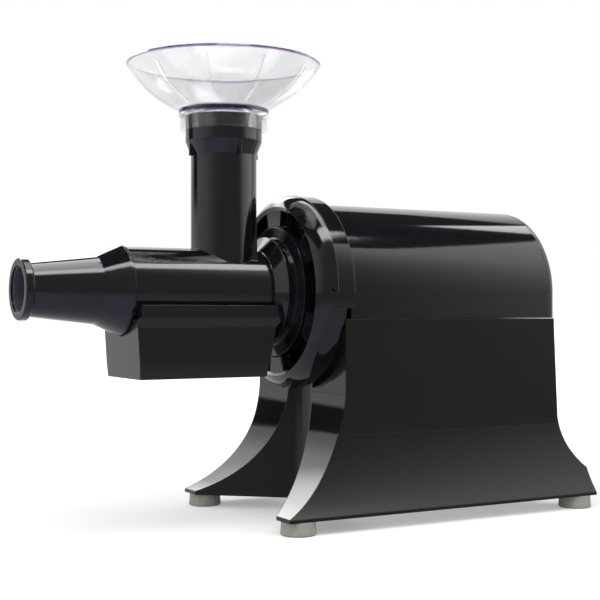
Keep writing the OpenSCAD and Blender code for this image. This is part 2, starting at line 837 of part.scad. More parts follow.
// Rear end cap: the cover's end with a rounded rim, and vents in its face
module rear_end_cap() place() color(black_gloss) difference() {
    intersection() {
        union() {
            turned([
                [cap_x0, 0], [cap_x0, cover_r],
                for (a = [0 : 15 : 90])
                    [cap_end_x - cap_round + cap_round * sin(a), cover_r - cap_round + cap_round * cos(a)],
                [cap_end_x, 0]
            ]);
            // Straight sides down to the seam, with the same rounded rim
            translate([0, 0, seam_z]) linear_extrude(height = axis_h - seam_z)
                polygon([
                    [cap_x0, -cover_r],
                    for (a = [0 : 15 : 90])
                        [cap_end_x - cap_round + cap_round * sin(a),
                            -cover_r + cap_round - cap_round * cos(a)],
                    for (a = [90 : -15 : 0])
                        [cap_end_x - cap_round + cap_round * sin(a),
                            cover_r - cap_round + cap_round * cos(a)],
                    [cap_x0, cover_r]
                ]);
        }
        block([cap_x0, -cover_r - over, seam_z + gap],
            [cap_end_x + over, cover_r + over, axis_h + cover_r + over]);
    }
    // Hollow behind the face
    translate([cap_x0 - over, 0, 0]) rotate([90, 0, 90])
        linear_extrude(height = cap_l - cap_plate_t + over)
            cover_outline(cover_r - cap_round);
    for (i = [0 : vent_n - 1])
        translate([cap_x0, -vent_w / 2 + (i - (vent_n - 1) / 2) * vent_pitch, axis_h - vent_l / 2 + vent_w])
            cube([cap_l + over, vent_w, vent_l + (vent_n - abs(i * 2 - vent_n + 1)) * vent_w / 2]);
    for (a = cap_screw_deg) cap_screw_hole(a, cap_x0, cap_end_x + over);
}

module rear_cap_screws() place() color(steel)
    for (a = cap_screw_deg)
        translate([cap_end_x, cap_screw_r * cos(a), axis_h + cap_screw_r * sin(a)])
            rotate([0, -90, 0]) screw_up(l = cap_l + cap_boss_r);

// Hub: a rounded bell whose floor closes the motor base, with bayonet lugs inside its mouth
function bell_angle(r) = asin((r - bell_arc_y) / bell_arc_r);
module sector(r_in, r_out, x0, x1, deg)
    intersection() {
        difference() {
            translate([x0, 0, 0]) rotate([0, 90, 0]) cylinder(h = x1 - x0, r = r_out);
            translate([x0 - over, 0, 0]) rotate([0, 90, 0]) cylinder(h = x1 - x0 + over * 2, r = r_in);
        }
        rotate([90, 0, 90]) linear_extrude(height = x1 + over)
            polygon([[0, 0], [-r_out * 2 * cos(deg / 2), -r_out * 2 * sin(deg / 2)],
                [-r_out * 2 * cos(deg / 2), r_out * 2 * sin(deg / 2)]]);
    }
module hub() place() color(black_gloss) difference() {
    union() {
        turned([
            [mouth_x + flange_edge, recess_r],
            for (i = [0 : 6])
                let (a = bell_angle(mouth_r) + (90 - bell_angle(mouth_r)) * i / 6)
                    [bell_arc_x - bell_arc_r * cos(a), bell_arc_y + bell_arc_r * sin(a)],
            [hub_floor_x + hub_rim_l, hub_r], [hub_floor_x + hub_rim_l, spigot_r],
            [front_wall_x, spigot_r], [front_wall_x, hub_bore_r],
            [hub_floor_x, hub_bore_r], [hub_floor_x, recess_r]
        ]);
        round_axis(lug_n, lug_first_deg)
            sector(hub_lug_r, recess_r + over, hub_lug_x, hub_lug_x + hub_lug_t, lug_deg);
    }
    // The flange stops short below the cover's band
    intersection() {
        difference() {
            rod(hub_floor_x, front_wall_x + over, hub_r + over);
            rod(hub_floor_x - over, front_wall_x + over * 2, spigot_r);
        }
        block([0, -hub_r - over, seam_z + band_end - gap],
            [front_wall_x + over * 2, hub_r + over, axis_h + hub_r + over]);
    }
    // Drain notch at the bottom of the bell, seat of the seal, screw holes and pin hole
    translate([mouth_x - over, 0, axis_h - hub_r + drain_in - drain_r]) rotate([0, 90, 0])
        cylinder(h = hub_floor_x - mouth_x, r = drain_r);
    rod(hub_floor_x + seal_lip, front_wall_x + over, seal_r);
    round_axis(hub_screw_n, 45)
        translate([hub_floor_x - over, 0, hub_screw_circle]) rotate([0, 90, 0])
            cylinder(h = hub_floor_t + over * 2, r = screw_r);
    translate([hub_floor_x - pin_hole_back, -hub_r - over, axis_h]) rotate([-90, 0, 0])
        cylinder(h = pin_hole_l, r = pin_hole_r);
}

module hub_screws() place() color(steel)
    round_axis(hub_screw_n, 45)
        translate([hub_floor_x, 0, hub_screw_circle]) rotate([0, 90, 0])
            screw_up(head_h = gasket_t, l = hub_floor_t + screw_past);

module shaft_seal() place() color("black")
    difference() {
        rod(hub_floor_x + seal_lip, front_wall_x, seal_r - seat);
        rod(hub_floor_x, front_wall_x + over, journal_r + run_gap);
    }

// Motor
module motor_shell() place() color(cast_grey) difference() {
    rod(motor_x0, motor_x1, motor_r);
    rod(motor_x0 - over, motor_x1 + over, motor_r - motor_wall);
}

// An end bell: a windowed dish that carries a bearing; its rim lies at rim_x
module end_bell(rim_x, out_x, brg_x, brg_w, brg_r, hole_r)
    difference() {
        union() {
            rod(min(rim_x, out_x), max(rim_x, out_x), motor_r);
            rod(min(brg_x, out_x), max(brg_x + brg_w, out_x), brg_r + brg_wall);
        }
        difference() {
            rod(min(rim_x, out_x + bell_t) - (rim_x < out_x ? over : 0),
                max(rim_x, out_x - bell_t) + (rim_x > out_x ? over : 0), motor_r - bell_t * 2);
            rod(min(brg_x, out_x), max(brg_x + brg_w, out_x), brg_r + brg_wall);
            if (rim_x > out_x) rod(out_x - over, out_x + bell_t, motor_r);
            if (rim_x < out_x) rod(out_x - bell_t, out_x + over, motor_r);
        }
        rod(brg_x - (rim_x < out_x ? over : 0), brg_x + brg_w + (rim_x > out_x ? over : 0), brg_r);
        rod(min(brg_x, out_x) - over, max(brg_x + brg_w, out_x) + over, hole_r);
        round_axis(bell_window_n)
            translate([min(rim_x, out_x) - over, 0, (motor_r + brg_r) / 2]) rotate([0, 90, 0])
                cylinder(h = abs(out_x - rim_x) + over * 2, r = (motor_r - brg_r) / 5);
        round_axis(4, 45)
            translate([min(rim_x, out_x) - over, 0, bolt_circle]) rotate([0, 90, 0])
                cylinder(h = abs(out_x - rim_x) + over * 2, r = bolt_r + seat);
        round_axis(hub_screw_n, 45)
            translate([min(rim_x, out_x) - over, 0, hub_screw_circle]) rotate([0, 90, 0])
                cylinder(h = abs(out_x - rim_x) + over * 2, r = screw_r);
    }
module front_end_bell() place() color(cast_grey)
    end_bell(motor_x0, front_wall_x + seat, front_brg_x, front_brg_w, front_brg_r + seat / 2, hub_bore_r);
module rear_end_bell() place() color(cast_grey)
    end_bell(motor_x1, rear_bell_x, rear_brg_x, rear_brg_w, rear_brg_r + seat / 2, rear_hole_r);

module through_bolts() place() color(steel)
    round_axis(4, 45)
        translate([rear_bell_x, 0, bolt_circle]) rotate([0, -90, 0]) {
            cylinder(h = rear_bell_x - front_wall_x - brg_lip, r = bolt_r);
            translate([0, 0, -bolt_head_h]) cylinder(h = bolt_head_h, r = bolt_head_r, $fn = 6);
        }

// Stator stack with its slots, open to the bore
module stator_core() place() color(dull_steel)
    translate([stack_x, 0, axis_h]) rotate([90, 0, 90]) linear_extrude(height = stack_l)
        difference() {
            circle(r = stator_r);
            circle(r = stator_bore_r);
            for (i = [0 : slot_n - 1]) rotate(i * 360 / slot_n) {
                translate([stator_bore_r + slot_lip_h, -slot_w / 2]) square([slot_depth, slot_w]);
                translate([stator_bore_r - over, -slot_lip_w / 2])
                    square([slot_lip_h + over * 2, slot_lip_w]);
            }
            for (i = [0 : 3]) rotate(45 + 90 * i)
                translate([bolt_circle, 0]) circle(r = bolt_r + gap);
        }

module stator_windings() place() color(copper)
    for (x = [stack_x - winding_l - seat, stack_x + stack_l + seat])
        turned([
            [x, winding_in_r + winding_edge], [x, winding_out_r - winding_round],
            [x + winding_round, winding_out_r], [x + winding_l - winding_round, winding_out_r],
            [x + winding_l, winding_out_r - winding_round], [x + winding_l, winding_in_r + winding_edge],
            [x + winding_l - winding_edge, winding_in_r], [x + winding_edge, winding_in_r]
        ]);

// A ball bearing: outer ring, inner ring's shield and the groove between them
module bearing(x, w, r_out, r_in) color(steel) {
    r = [for (share = brg_shares) r_in + (r_out - r_in) * share];
    turned([
        [x, r_in], [x, r[0]], [x + brg_groove, r[1]], [x + brg_groove, r[2]], [x, r[3]], [x, r_out],
        [x + w, r_out], [x + w, r[3]], [x + w - brg_groove, r[2]], [x + w - brg_groove, r[1]],
        [x + w, r[0]], [x + w, r_in]
    ]);
}
module front_bearing() place() bearing(front_brg_x, front_brg_w, front_brg_r, journal_r + run_gap);
module rear_bearing() place() bearing(rear_brg_x, rear_brg_w, rear_brg_r, rear_journal_r + run_gap);

// Two saddles that carry the motor on ledges of the side walls
module motor_cradle() place() color(dull_steel) difference() {
    for (x = cradle_x)
        translate([x, 0, 0]) rotate([90, 0, 90]) linear_extrude(height = cradle_t) difference() {
            union() {
                translate([-cradle_half_y, cradle_z]) square([cradle_half_y * 2, ear_h]);
                translate([-cradle_mid_y, cradle_z]) square([cradle_mid_y * 2, cradle_h]);
            }
            translate([0, axis_h]) circle(r = motor_r + seat);
        }
    for (x = cradle_x, s = [-1, 1])
        translate([x + cradle_t / 2, s * cradle_screw_y, cradle_z - over])
            cylinder(h = ear_h + over * 2, r = screw_r);
}
module cradle_screws() place() color(steel)
    for (x = cradle_x, s = [-1, 1])
        translate([x + cradle_t / 2, s * cradle_screw_y, cradle_z + ear_h])
            rotate([180, 0, 0]) screw_up(l = ear_h + screw_deep - over);

module start_capacitor() place() color("gray")
    translate([cap_x, cap_y, cap_z]) rotate([0, 90, 0]) union() {
        cylinder(h = cap_len, r = cap_r);
        for (s = [-1, 1])
            translate([s * cap_lug_y, 0, cap_len]) cylinder(h = cap_lug_l, r = screw_r);
    }

module capacitor_clamp() place() color(dull_steel)
    translate([cap_x + (cap_len - clamp_w) / 2, cap_y, 0]) rotate([90, 0, 90])
        linear_extrude(height = clamp_w) difference() {
            union() {
                translate([0, cap_z]) circle(r = cap_r + clamp_t);
                translate([-cap_r - clamp_foot, plate_z + plate_t])
                    square([(cap_r + clamp_foot) * 2, clamp_foot_t]);
            }
            translate([0, cap_z]) circle(r = cap_r + seat / 2);
        }

module start_switch() place() color(nylon_white) difference() {
    rod(switch_plate_x, switch_plate_x + switch_plate_t, switch_plate_r);
    rod(switch_plate_x - over, switch_plate_x + switch_plate_t + over, rear_brg_r + brg_wall + seat);
}

module terminal_block() place() color(nylon_white) difference() {
    translate([block_x, block_y, plate_z + plate_t]) cube([block_l, block_w, block_h]);
    for (i = [0 : block_ways - 1])
        translate([block_x + block_l * (i + 1 / 2) / block_ways, block_y + block_w / 2,
                plate_z + plate_t + block_h / 2])
            cylinder(h = block_h, r = block_l / block_ways / 3);
}

// Rocker switch on its pad, and the gland of the cord inlet
module switch_bezel() place() color("black") difference() {
    block([pad_x, -bezel_w / 2, switch_z - bezel_h / 2],
        [pad_x + bezel_t, bezel_w / 2, switch_z + bezel_h / 2]);
    block([pad_x - over, -rocker_w / 2 - rocker_gap, switch_z - rocker_h / 2 - rocker_gap],
        [pad_x + bezel_t + over, rocker_w / 2 + rocker_gap, switch_z + rocker_h / 2 + rocker_gap]);
}
module switch_body() place() color("black")
    difference() {
        block([pad_x - body_depth, -opening_w / 2 + seat, switch_z - opening_h / 2 + seat],
            [pad_x - seat, opening_w / 2 - seat, switch_z + opening_h / 2 - seat]);
        block([pad_x - rocker_h / 2 - rocker_gap * 2, -rocker_w / 2 - rocker_gap,
                switch_z - rocker_h / 2 - rocker_gap],
            [pad_x + over, rocker_w / 2 + rocker_gap, switch_z + rocker_h / 2 + rocker_gap]);
        rocker_pins(rocker_pin_r + run_gap, rocker_pin_l + gap);
    }
// The round pins that the rocker turns on, along Y
module rocker_pins(r, l)
    translate([pad_x - rocker_pin_in, rocker_w / 2 + rocker_gap + l, switch_z]) rotate([90, 0, 0])
        cylinder(h = rocker_w + (rocker_gap + l) * 2, r = r, $fn = fine_fn);
// The rocker's face is a shallow V, and it rests on its off side
module switch_rocker() place() color([0.12, 0.12, 0.12]) {
    rocker_pins(rocker_pin_r, rocker_pin_l);
    translate([pad_x - rocker_pin_in, 0, switch_z]) rotate([0, rocker_deg, 0])
        translate([rocker_pin_in, rocker_w / 2, 0]) rotate([90, 0, 0]) linear_extrude(height = rocker_w)
            polygon([
                [-rocker_h / 2 + rocker_out / 2, -rocker_h / 6],
                [bezel_t - rocker_out / 4, -rocker_h / 2 + rocker_gap],
                [bezel_t + rocker_out / 2, -rocker_h / 2 + rocker_gap * 2], [bezel_t + rocker_out / 5, 0],
                [bezel_t + rocker_out / 2, rocker_h / 2 - rocker_gap * 2],
                [bezel_t - rocker_out / 4, rocker_h / 2 - rocker_gap],
                [-rocker_h / 2 + rocker_out / 2, rocker_h / 6]
            ]);
}

module cord_gland() place() color("black")
    translate([0, 0, inlet_z - axis_h]) turned([
        [pad_x - gland_in, gland_bore_r], [pad_x - gland_in, gland_neck_r],
        [pad_x, gland_neck_r], [pad_x, gland_r], [pad_x + gland_out / 3, gland_r],
        [pad_x + gland_out, gland_bore_r + gland_wall], [pad_x + gland_out, gland_bore_r]
    ]);

// Rotor: shaft, core, fan and governor
module motor_shaft() place() color(steel) difference() {
    turned([
        [shaft_tip_x, 0], [shaft_tip_x, shaft_r - over], [shaft_tip_x + over, shaft_r],
        [journal_x, shaft_r], [journal_x, journal_r],
        [front_brg_x + front_brg_w + seat, journal_r], [front_brg_x + front_brg_w + seat, rotor_seat_r],
        [rear_brg_x - seat, rotor_seat_r], [rear_brg_x - seat, rear_journal_r],
        [shaft_end_x - over, rear_journal_r], [shaft_end_x, rear_journal_r - over], [shaft_end_x, 0]
    ]);
    // Flat that drives the cutter
    block([shaft_tip_x - over, -shaft_r - over, axis_h + shaft_r - shaft_flat],
        [neck_x - slot_end_wall, shaft_r + over, axis_h + shaft_r + over]);
}

module rotor_core() place() color(cast_grey) difference() {
    turned([
        [stack_x - end_ring_l, rotor_seat_r + seat / 2], [stack_x - end_ring_l, rotor_r - end_ring_in],
        [stack_x, rotor_r - end_ring_step], [stack_x, rotor_r],
        [stack_x + stack_l, rotor_r], [stack_x + stack_l, rotor_r - end_ring_step],
        [stack_x + stack_l + end_ring_l, rotor_r - end_ring_in],
        [stack_x + stack_l + end_ring_l, rotor_seat_r + seat / 2]
    ]);
    for (s = [0, 1])
        round_axis(6, 30 * s)
            translate([s > 0 ? stack_x + stack_l + end_ring_l - ring_hole_l : stack_x - end_ring_l - over,
                    0, (rotor_r + rotor_seat_r) / 2 - over])
                rotate([0, 90, 0]) cylinder(h = ring_hole_l + over, r = ring_hole_r);
}

module cooling_fan() place() color(nylon_white) difference() {
    union() {
        rod(fan_x, fan_x + fan_l, fan_hub_r);
        rod(fan_x, fan_x + fan_disc_t, fan_r);
        round_axis(fan_n) translate([fan_x, -fan_blade_t / 2, fan_hub_r - over])
            cube([fan_l, fan_blade_t, fan_r - fan_hub_r]);
    }
    rod(fan_x - over, fan_x + fan_l + over, rear_journal_r + seat / 2);
}

module speed_governor() place() color(copper) difference() {
    union() {
        rod(governor_x, governor_x + governor_w, governor_r);
        rod(governor_x, governor_x + governor_w * 2, rotor_seat_r + governor_hub);
    }
    rod(governor_x - over, governor_x + governor_w * 2 + over, rotor_seat_r + seat / 2);
    for (s = [-1, 1])
        block([governor_x - over, s > 0 ? governor_flat_y : -governor_r, axis_h - governor_r],
            [governor_x + governor_w + over, s > 0 ? governor_r : -governor_flat_y, axis_h + governor_r]);
}

module retaining_rings() place() color(dull_steel)
    for (x = [rear_brg_x + rear_brg_w + ring_setback, fan_x + fan_l + brg_lip])
        difference() {
            rod(x, x + ring_t, rear_journal_r + ring_h);
            rod(x - over, x + ring_t + over, rear_journal_r + seat / 2);
            block([x - over, -ring_h, axis_h], [x + ring_t + over, ring_h, axis_h + rear_journal_r * 2]);
        }

// Cutter: a tapered core with rows of saw-toothed blades set in it
module blade_profile()
    polygon([
        [blade_x0, core_r - blade_sink], [blade_x0, cutter_r - tooth_h],
        for (i = [0 : floor((blade_x1 - blade_x0) / tooth_pitch) - 1])
            each [
                [blade_x0 + (i + tooth_shares[0]) * tooth_pitch, cutter_r],
                [blade_x0 + (i + tooth_shares[1]) * tooth_pitch, cutter_r],
                [blade_x0 + (i + tooth_shares[2]) * tooth_pitch, cutter_r - tooth_h]
            ],
        [blade_x1, cutter_r - tooth_h], [blade_x1, core_r - blade_sink]
    ]);
module cutter_body() place() color(nylon_white) difference() {
    turned([
        [core_x0 - nose_l, 0], [core_x0 - nose_l, nose_r - nose_round],
        [core_x0 - nose_l + nose_round, nose_r], [core_x0, core_r - core_edge],
        [core_x0 + core_edge, core_r], [blade_x1 + core_edge, core_r],
        [blade_x1 + core_step, cutter_hub_r], [core_x1, cutter_hub_r], [core_x1, 0]
    ]);
    difference() {
        rod(shaft_tip_x - over, core_x1 + over, core_bore_r);
        block([shaft_tip_x - over, -shaft_r - over, axis_h + shaft_r - shaft_flat + seat],
            [neck_x - slot_end_wall - over, shaft_r + over, axis_h + core_r]);
    }
    for (i = [0 : blade_n - 1])
        translate([0, 0, axis_h]) rotate([blade_first_deg + i * 360 / blade_n, 0, 0])
            block([core_x0 - nose_round, -blade_t / 2 - seat / 2, core_r - blade_sink - seat / 2],
                [blade_x1 + seat, blade_t / 2 + seat / 2, core_r + over]);
    // Flutes in the nose that carry the pulp forward
    round_axis(flute_n, 30)
        translate([core_x0 - nose_l - over, 0, nose_r + flute_out]) rotate([0, 90 - flute_deg, 0])
            cylinder(h = nose_l, r = flute_r);
}
module cutter_blades() place() color(steel)
    for (i = [0 : blade_n - 1])
        translate([0, 0, axis_h]) rotate([blade_first_deg + i * 360 / blade_n, 0, 0])
            translate([0, blade_t / 2, 0]) rotate([90, 0, 0]) linear_extrude(height = blade_t)
                blade_profile();

// Juicer body: nozzle, shoulder, barrel, feed throat and bayonet flange in one moulding
module body_outer() {
    turned([
        [nozzle_x, 0], [nozzle_x, nozzle_ring_r - ring_edge], [nozzle_x + ring_edge, nozzle_ring_r],
        [nozzle_ring_back - ring_edge, nozzle_ring_r], [nozzle_ring_back, nozzle_ring_r - ring_edge],
        [nozzle_ring_back + ring_step, nozzle_r], [nozzle_root_x, nozzle_root_r],
        [shoulder_x - shoulder_edge_l, shoulder_r], [shoulder_x, shoulder_r], [shoulder_x, barrel_r],
        [neck_x, barrel_r], [neck_x + neck_cone_l, neck_r], [step_x, neck_r],
        [step_x + flange_edge, flange_r], [flange_back_x, flange_r], [flange_back_x, 0]
    ]);
    round_axis(lug_n, lug_first_deg)
        sector(flange_r - over, body_lug_r, body_lug_x, flange_back_x, lug_deg);
    // Feed throat with its cone and top band
    translate([throat_x, 0, 0]) rotate_extrude() polygon([
        [0, axis_h], [throat_r, axis_h], [throat_r, throat_band_z - throat_cone_h],
        [throat_band_r, throat_band_z], [throat_band_r, throat_top_z], [0, throat_top_z]
    ]);
    // Gussets under the band
    for (i = [0 : throat_rib_n - 1])
        translate([throat_x, 0, 0]) rotate([0, 0, i * 360 / throat_rib_n])
            block([throat_r - throat_wall / 2, -throat_rib_w / 2, throat_band_z - throat_rib_h],
                [throat_band_r - throat_rib_in, throat_rib_w / 2, throat_band_z + over]);
    // Web behind the throat: a wedge in both views
    intersection() {
        rotate([90, 0, 0]) linear_extrude(height = web_low_y * 2 + over * 2, center = true) polygon([
            [throat_x, web_low_z], [web_low_x, web_low_z], [web_low_x, web_low_z + web_foot_h],
            [web_top_x, web_top_z], [web_top_x - web_t, web_top_z], [throat_x, web_top_z - web_t]
        ]);
        translate([throat_x - over, 0, 0]) rotate([90, 0, 90])
            linear_extrude(height = web_top_x - throat_x + over * 2) polygon([
                [-web_low_y, web_low_z - over], [web_low_y, web_low_z - over],
                [web_low_y, web_low_z + web_foot_h], [web_top_y, web_top_z + over],
                [-web_top_y, web_top_z + over], [-web_low_y, web_low_z + web_foot_h]
            ]);
    }
    // Rail tongues for the screen holder
    for (s = [-1, 1])
        block([channel_x0 + gap, s > 0 ? 0 : -tongue_y, tongue_z],
            [rail_x1, s > 0 ? tongue_y : 0, tongue_z + tongue_h]);
}
module juicer_barrel() place() color(black_gloss) difference() {
    body_outer();
    turned([
        [nozzle_x - over, 0], [nozzle_x - over, nozzle_bore_r + nozzle_lip],
        [nozzle_x + nozzle_lip, nozzle_bore_r + nozzle_lip], [nozzle_x + nozzle_lip, nozzle_bore_r],
        [nozzle_bore_x, nozzle_bore_r], [nozzle_root_x, nozzle_root_r - barrel_wall],
        [shoulder_x, barrel_in_r], [flange_back_x - flange_wall, barrel_in_r],
        [flange_back_x - flange_wall, back_hole_r], [flange_back_x + over, back_hole_r],
        [flange_back_x + over, 0]
    ]);
    // Bore of the throat, wider where it opens into the barrel
    translate([throat_x, 0, axis_h]) {
        cylinder(h = throat_top_z - axis_h + over, r = throat_in_r);
        cylinder(h = throat_mouth_z - axis_h, r = throat_in_r + throat_mouth_out);
    }
    // Hollow behind the neck, so that the flange is a shell
    turned([
        [step_x + flange_edge + flange_wall, barrel_r],
        [step_x + flange_edge + flange_wall, flange_r - flange_wall],
        [flange_back_x + over, flange_r - flange_wall], [flange_back_x + over, barrel_r]
    ]);
    // Slot over the screen, with the rebate that the screen lies in
    block([slot_x0, -slot_half_y, axis_h - shoulder_r], [slot_x1, slot_half_y, axis_h - barrel_in_r / 2]);
    intersection() {
        difference() {
            rod(slot_x0 - screen_rim, slot_x1 + screen_rim, barrel_r + over);
            rod(slot_x0 - screen_rim - over, slot_x1 + screen_rim + over, rebate_r);
        }
        block([slot_x0 - screen_rim - over, -rebate_half_y, axis_h - shoulder_r - over],
            [slot_x1 + screen_rim + over, rebate_half_y, axis_h]);
    }
}

module body_gasket() place() color("black")
    turned([
        [flange_back_x, flange_r - flange_wall + over], [flange_back_x, flange_r - seat],
        [flange_back_x + gasket_t, flange_r - seat], [flange_back_x + gasket_t, flange_r - flange_wall + over]
    ]);

// Screen: a curved sheet with rows of holes, each row set half a pitch from the next
function screen_hole_x(i, j) =
    slot_x0 + (slot_x1 - slot_x0) * (i + 3 / 4 - (j % 2) / 2) / (screen_cols + 1 / 2);
module juice_screen() place() color(steel) difference() {
    intersection() {
        difference() {
            rod(slot_x0 - screen_rim + seat, slot_x1 + screen_rim - seat, rebate_r + screen_t + seat);
            rod(slot_x0 - screen_rim - over, slot_x1 + screen_rim + over, rebate_r + seat);
        }
        block([slot_x0 - screen_rim, -rebate_half_y + seat, axis_h - shoulder_r - over],
            [slot_x1 + screen_rim, rebate_half_y - seat, axis_h]);
    }
    for (i = [0 : screen_cols - 1], j = [0 : screen_rows - 1])
        translate([screen_hole_x(i, j), 0, axis_h])
            rotate([(j - (screen_rows - 1) / 2) * screen_row_deg, 0, 0]) translate([0, 0, -barrel_r - over])
                cylinder(h = barrel_wall + over * 2, d = screen_hole_d, $fn = fine_fn);
}

// Screen holder: a box with an open lower edge that hangs from two rails
module holder_section()
    polygon([
        [-box_w / 2 + fold_in, box_low_z], [box_w / 2 - fold_in, box_low_z],
        [box_w / 2, fold_z], [box_w / 2, box_top_z],
        [rail_w / 2, rail_low_z], [rail_w / 2, rail_top_z],
        [-rail_w / 2, rail_top_z], [-rail_w / 2, rail_low_z],
        [-box_w / 2, box_top_z], [-box_w / 2, fold_z]
    ]);
module screen_holder() place() color(black_gloss) difference() {
    intersection() {
        translate([box_front_x - over, 0, 0]) rotate([90, 0, 90])
            linear_extrude(height = rail_x1 - box_front_x + over) holder_section();
        // Side outline: raked front wall, slanted rear edge
        rotate([90, 0, 0]) linear_extrude(height = rail_w + over * 2, center = true) polygon([
            [box_front_x + box_front_rake, box_low_z], [box_front_x, rail_low_z - bevel_h / 2],
            [box_front_x, rail_low_z - over], [rail_x0, rail_low_z], [rail_x0, rail_top_z],
            [rail_x1, rail_top_z], [rail_x1, rail_low_z], [box_rear_top_x, box_top_z],
            [box_rear_low_x, box_low_z]
        ]);
    }
    // Inside of the box, open at its lower edge
    intersection() {
        translate([channel_x0, 0, 0]) rotate([90, 0, 90])
            linear_extrude(height = rail_x1 - box_front_x)
                polygon([
                    [-box_w / 2 + box_wall + fold_in, box_low_z - over],
                    [box_w / 2 - box_wall - fold_in, box_low_z - over],
                    [box_w / 2 - box_wall, fold_z], [box_w / 2 - box_wall, rail_top_z + over],
                    [-box_w / 2 + box_wall, rail_top_z + over], [-box_w / 2 + box_wall, fold_z]
                ]);
        rotate([90, 0, 0]) linear_extrude(height = rail_w, center = true) polygon([
            [channel_x0 - over, box_low_z - over], [box_rear_low_x - box_wall, box_low_z - over],
            [box_rear_top_x - box_wall, box_top_z], [rail_x1 - box_wall, rail_low_z],
            [rail_x1 - box_wall, rail_top_z + over], [channel_x0 - over, rail_top_z + over]
        ]);
    }
    // Channels that run on the body's tongues
    for (s = [-1, 1])
        block([channel_x0, s > 0 ? 0 : -tongue_y - gap, tongue_z - gap],
            [rail_x1 + over, s > 0 ? tongue_y + gap : 0, tongue_z + tongue_h + gap]);
    rod(box_front_x - over, rail_x1 + over, holder_cut_r);
    rod(neck_x, neck_x + neck_cone_l, holder_cut_r, neck_r + holder_neck_gap);
}

// Funnel: a clear bowl on a collar that slips over the throat's top band
function bowl_r(t) = bowl_root_r + (funnel_r - bowl_root_r) * t + bowl_sag_r * sin(180 * t);
function bowl_z(t) = bowl_z0 + (funnel_z - bowl_z0) * t - bowl_sag_z * sin(180 * t);
// A point at share t of the bowl's height, d inside its outer face
function bowl_point(t, d) = [bowl_r(t) - d * cos(bowl_slope), bowl_z(t) + d * sin(bowl_slope)];
module feed_funnel() place() color(clear_tint) translate([throat_x, 0, 0]) union() {
    rotate_extrude() polygon([
        [collar_r, collar_z], [collar_r, funnel_low_z], [bowl_root_r, funnel_low_z],
        for (i = [0 : bowl_steps]) bowl_point(i / bowl_steps, 0),
        for (i = [bowl_steps : -1 : 0]) bowl_point(i / bowl_steps, funnel_wall),
        [throat_in_r + gap, bowl_z0], [throat_in_r + gap, funnel_low_z],
        [funnel_throat_r, funnel_low_z], [funnel_throat_r, collar_z]
    ]);
    for (i = [0 : funnel_rib_n - 1]) rotate([0, 0, (i + 0.5) * 360 / funnel_rib_n])
        translate([0, rib_t / 2, 0]) rotate([90, 0, 0]) linear_extrude(height = rib_t)
            polygon([
                for (k = [1 : bowl_steps - 2]) bowl_point(k / bowl_steps, funnel_wall / 2),
                for (k = [bowl_steps - 2 : -1 : 1]) bowl_point(k / bowl_steps, funnel_wall + rib_h)
            ]);
}

base_housing();
bottom_plate();
bottom_plate_screws();
foot_front_near();
foot_front_far();
foot_rear_near();
foot_rear_far();
foot_screws();
top_cover();
rear_end_cap();
rear_cap_screws();
hub();
hub_screws();
shaft_seal();
motor_shell();
front_end_bell();
rear_end_bell();
through_bolts();
stator_core();
stator_windings();
front_bearing();
rear_bearing();
motor_cradle();
cradle_screws();
start_capacitor();
capacitor_clamp();
start_switch();
terminal_block();
switch_bezel();
switch_body();
switch_rocker();
cord_gland();
motor_shaft();
rotor_core();
cooling_fan();
speed_governor();
retaining_rings();
cutter_body();
cutter_blades();
juicer_barrel();
body_gasket();
juice_screen();
screen_holder();
feed_funnel();
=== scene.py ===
"""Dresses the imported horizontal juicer: finishes, moulded edges, screws, floor, light and camera."""
import json
import math

import bmesh
import bpy
from bpy.props import FloatProperty, FloatVectorProperty, PointerProperty
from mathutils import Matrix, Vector


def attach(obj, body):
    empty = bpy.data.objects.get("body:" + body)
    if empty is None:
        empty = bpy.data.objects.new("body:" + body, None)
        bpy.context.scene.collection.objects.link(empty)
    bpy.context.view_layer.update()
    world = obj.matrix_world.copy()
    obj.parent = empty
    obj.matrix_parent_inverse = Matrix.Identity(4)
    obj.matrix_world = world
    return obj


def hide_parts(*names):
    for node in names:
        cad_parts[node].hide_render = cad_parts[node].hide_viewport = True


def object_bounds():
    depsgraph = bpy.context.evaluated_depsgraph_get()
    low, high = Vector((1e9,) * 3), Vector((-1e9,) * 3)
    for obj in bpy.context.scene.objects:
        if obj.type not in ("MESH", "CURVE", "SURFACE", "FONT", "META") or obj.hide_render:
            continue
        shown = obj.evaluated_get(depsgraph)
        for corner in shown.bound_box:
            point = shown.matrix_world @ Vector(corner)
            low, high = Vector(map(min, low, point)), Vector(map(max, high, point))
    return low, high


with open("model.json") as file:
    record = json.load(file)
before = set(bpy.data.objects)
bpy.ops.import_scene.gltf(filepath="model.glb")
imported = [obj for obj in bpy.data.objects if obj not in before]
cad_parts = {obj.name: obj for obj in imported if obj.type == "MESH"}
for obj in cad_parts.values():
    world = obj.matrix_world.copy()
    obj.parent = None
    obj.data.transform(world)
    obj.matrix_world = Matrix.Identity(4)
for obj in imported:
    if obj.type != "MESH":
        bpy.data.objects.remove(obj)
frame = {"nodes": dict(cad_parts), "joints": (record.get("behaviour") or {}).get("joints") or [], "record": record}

bl_info = {
    "name": "Horizontal Juicer",
    "version": (1, 0, 0),
    "blender": (4, 5, 0),
    "location": "View3D > Sidebar > Juicer",
    "description": "Finishes, screws, stage and light of a horizontal juicer",
    "category": "Object",
}

MM = 0.001
CAD_BOX = [list(corner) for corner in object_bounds()]

# Places on the juicer that its finishes follow
AXIS_Z = frame["joints"][0]["pos_m"][2]
NOZZLE_BORE_R = 18.6 * MM
# Where the painted reflection inside the nozzle bore ends
PAINTED_BORE_END_X = CAD_BOX[0][0] + 34.25 * MM
FUNNEL_ROOT_Z = 352.4 * MM
FUNNEL_TOP_Z = CAD_BOX[1][2]

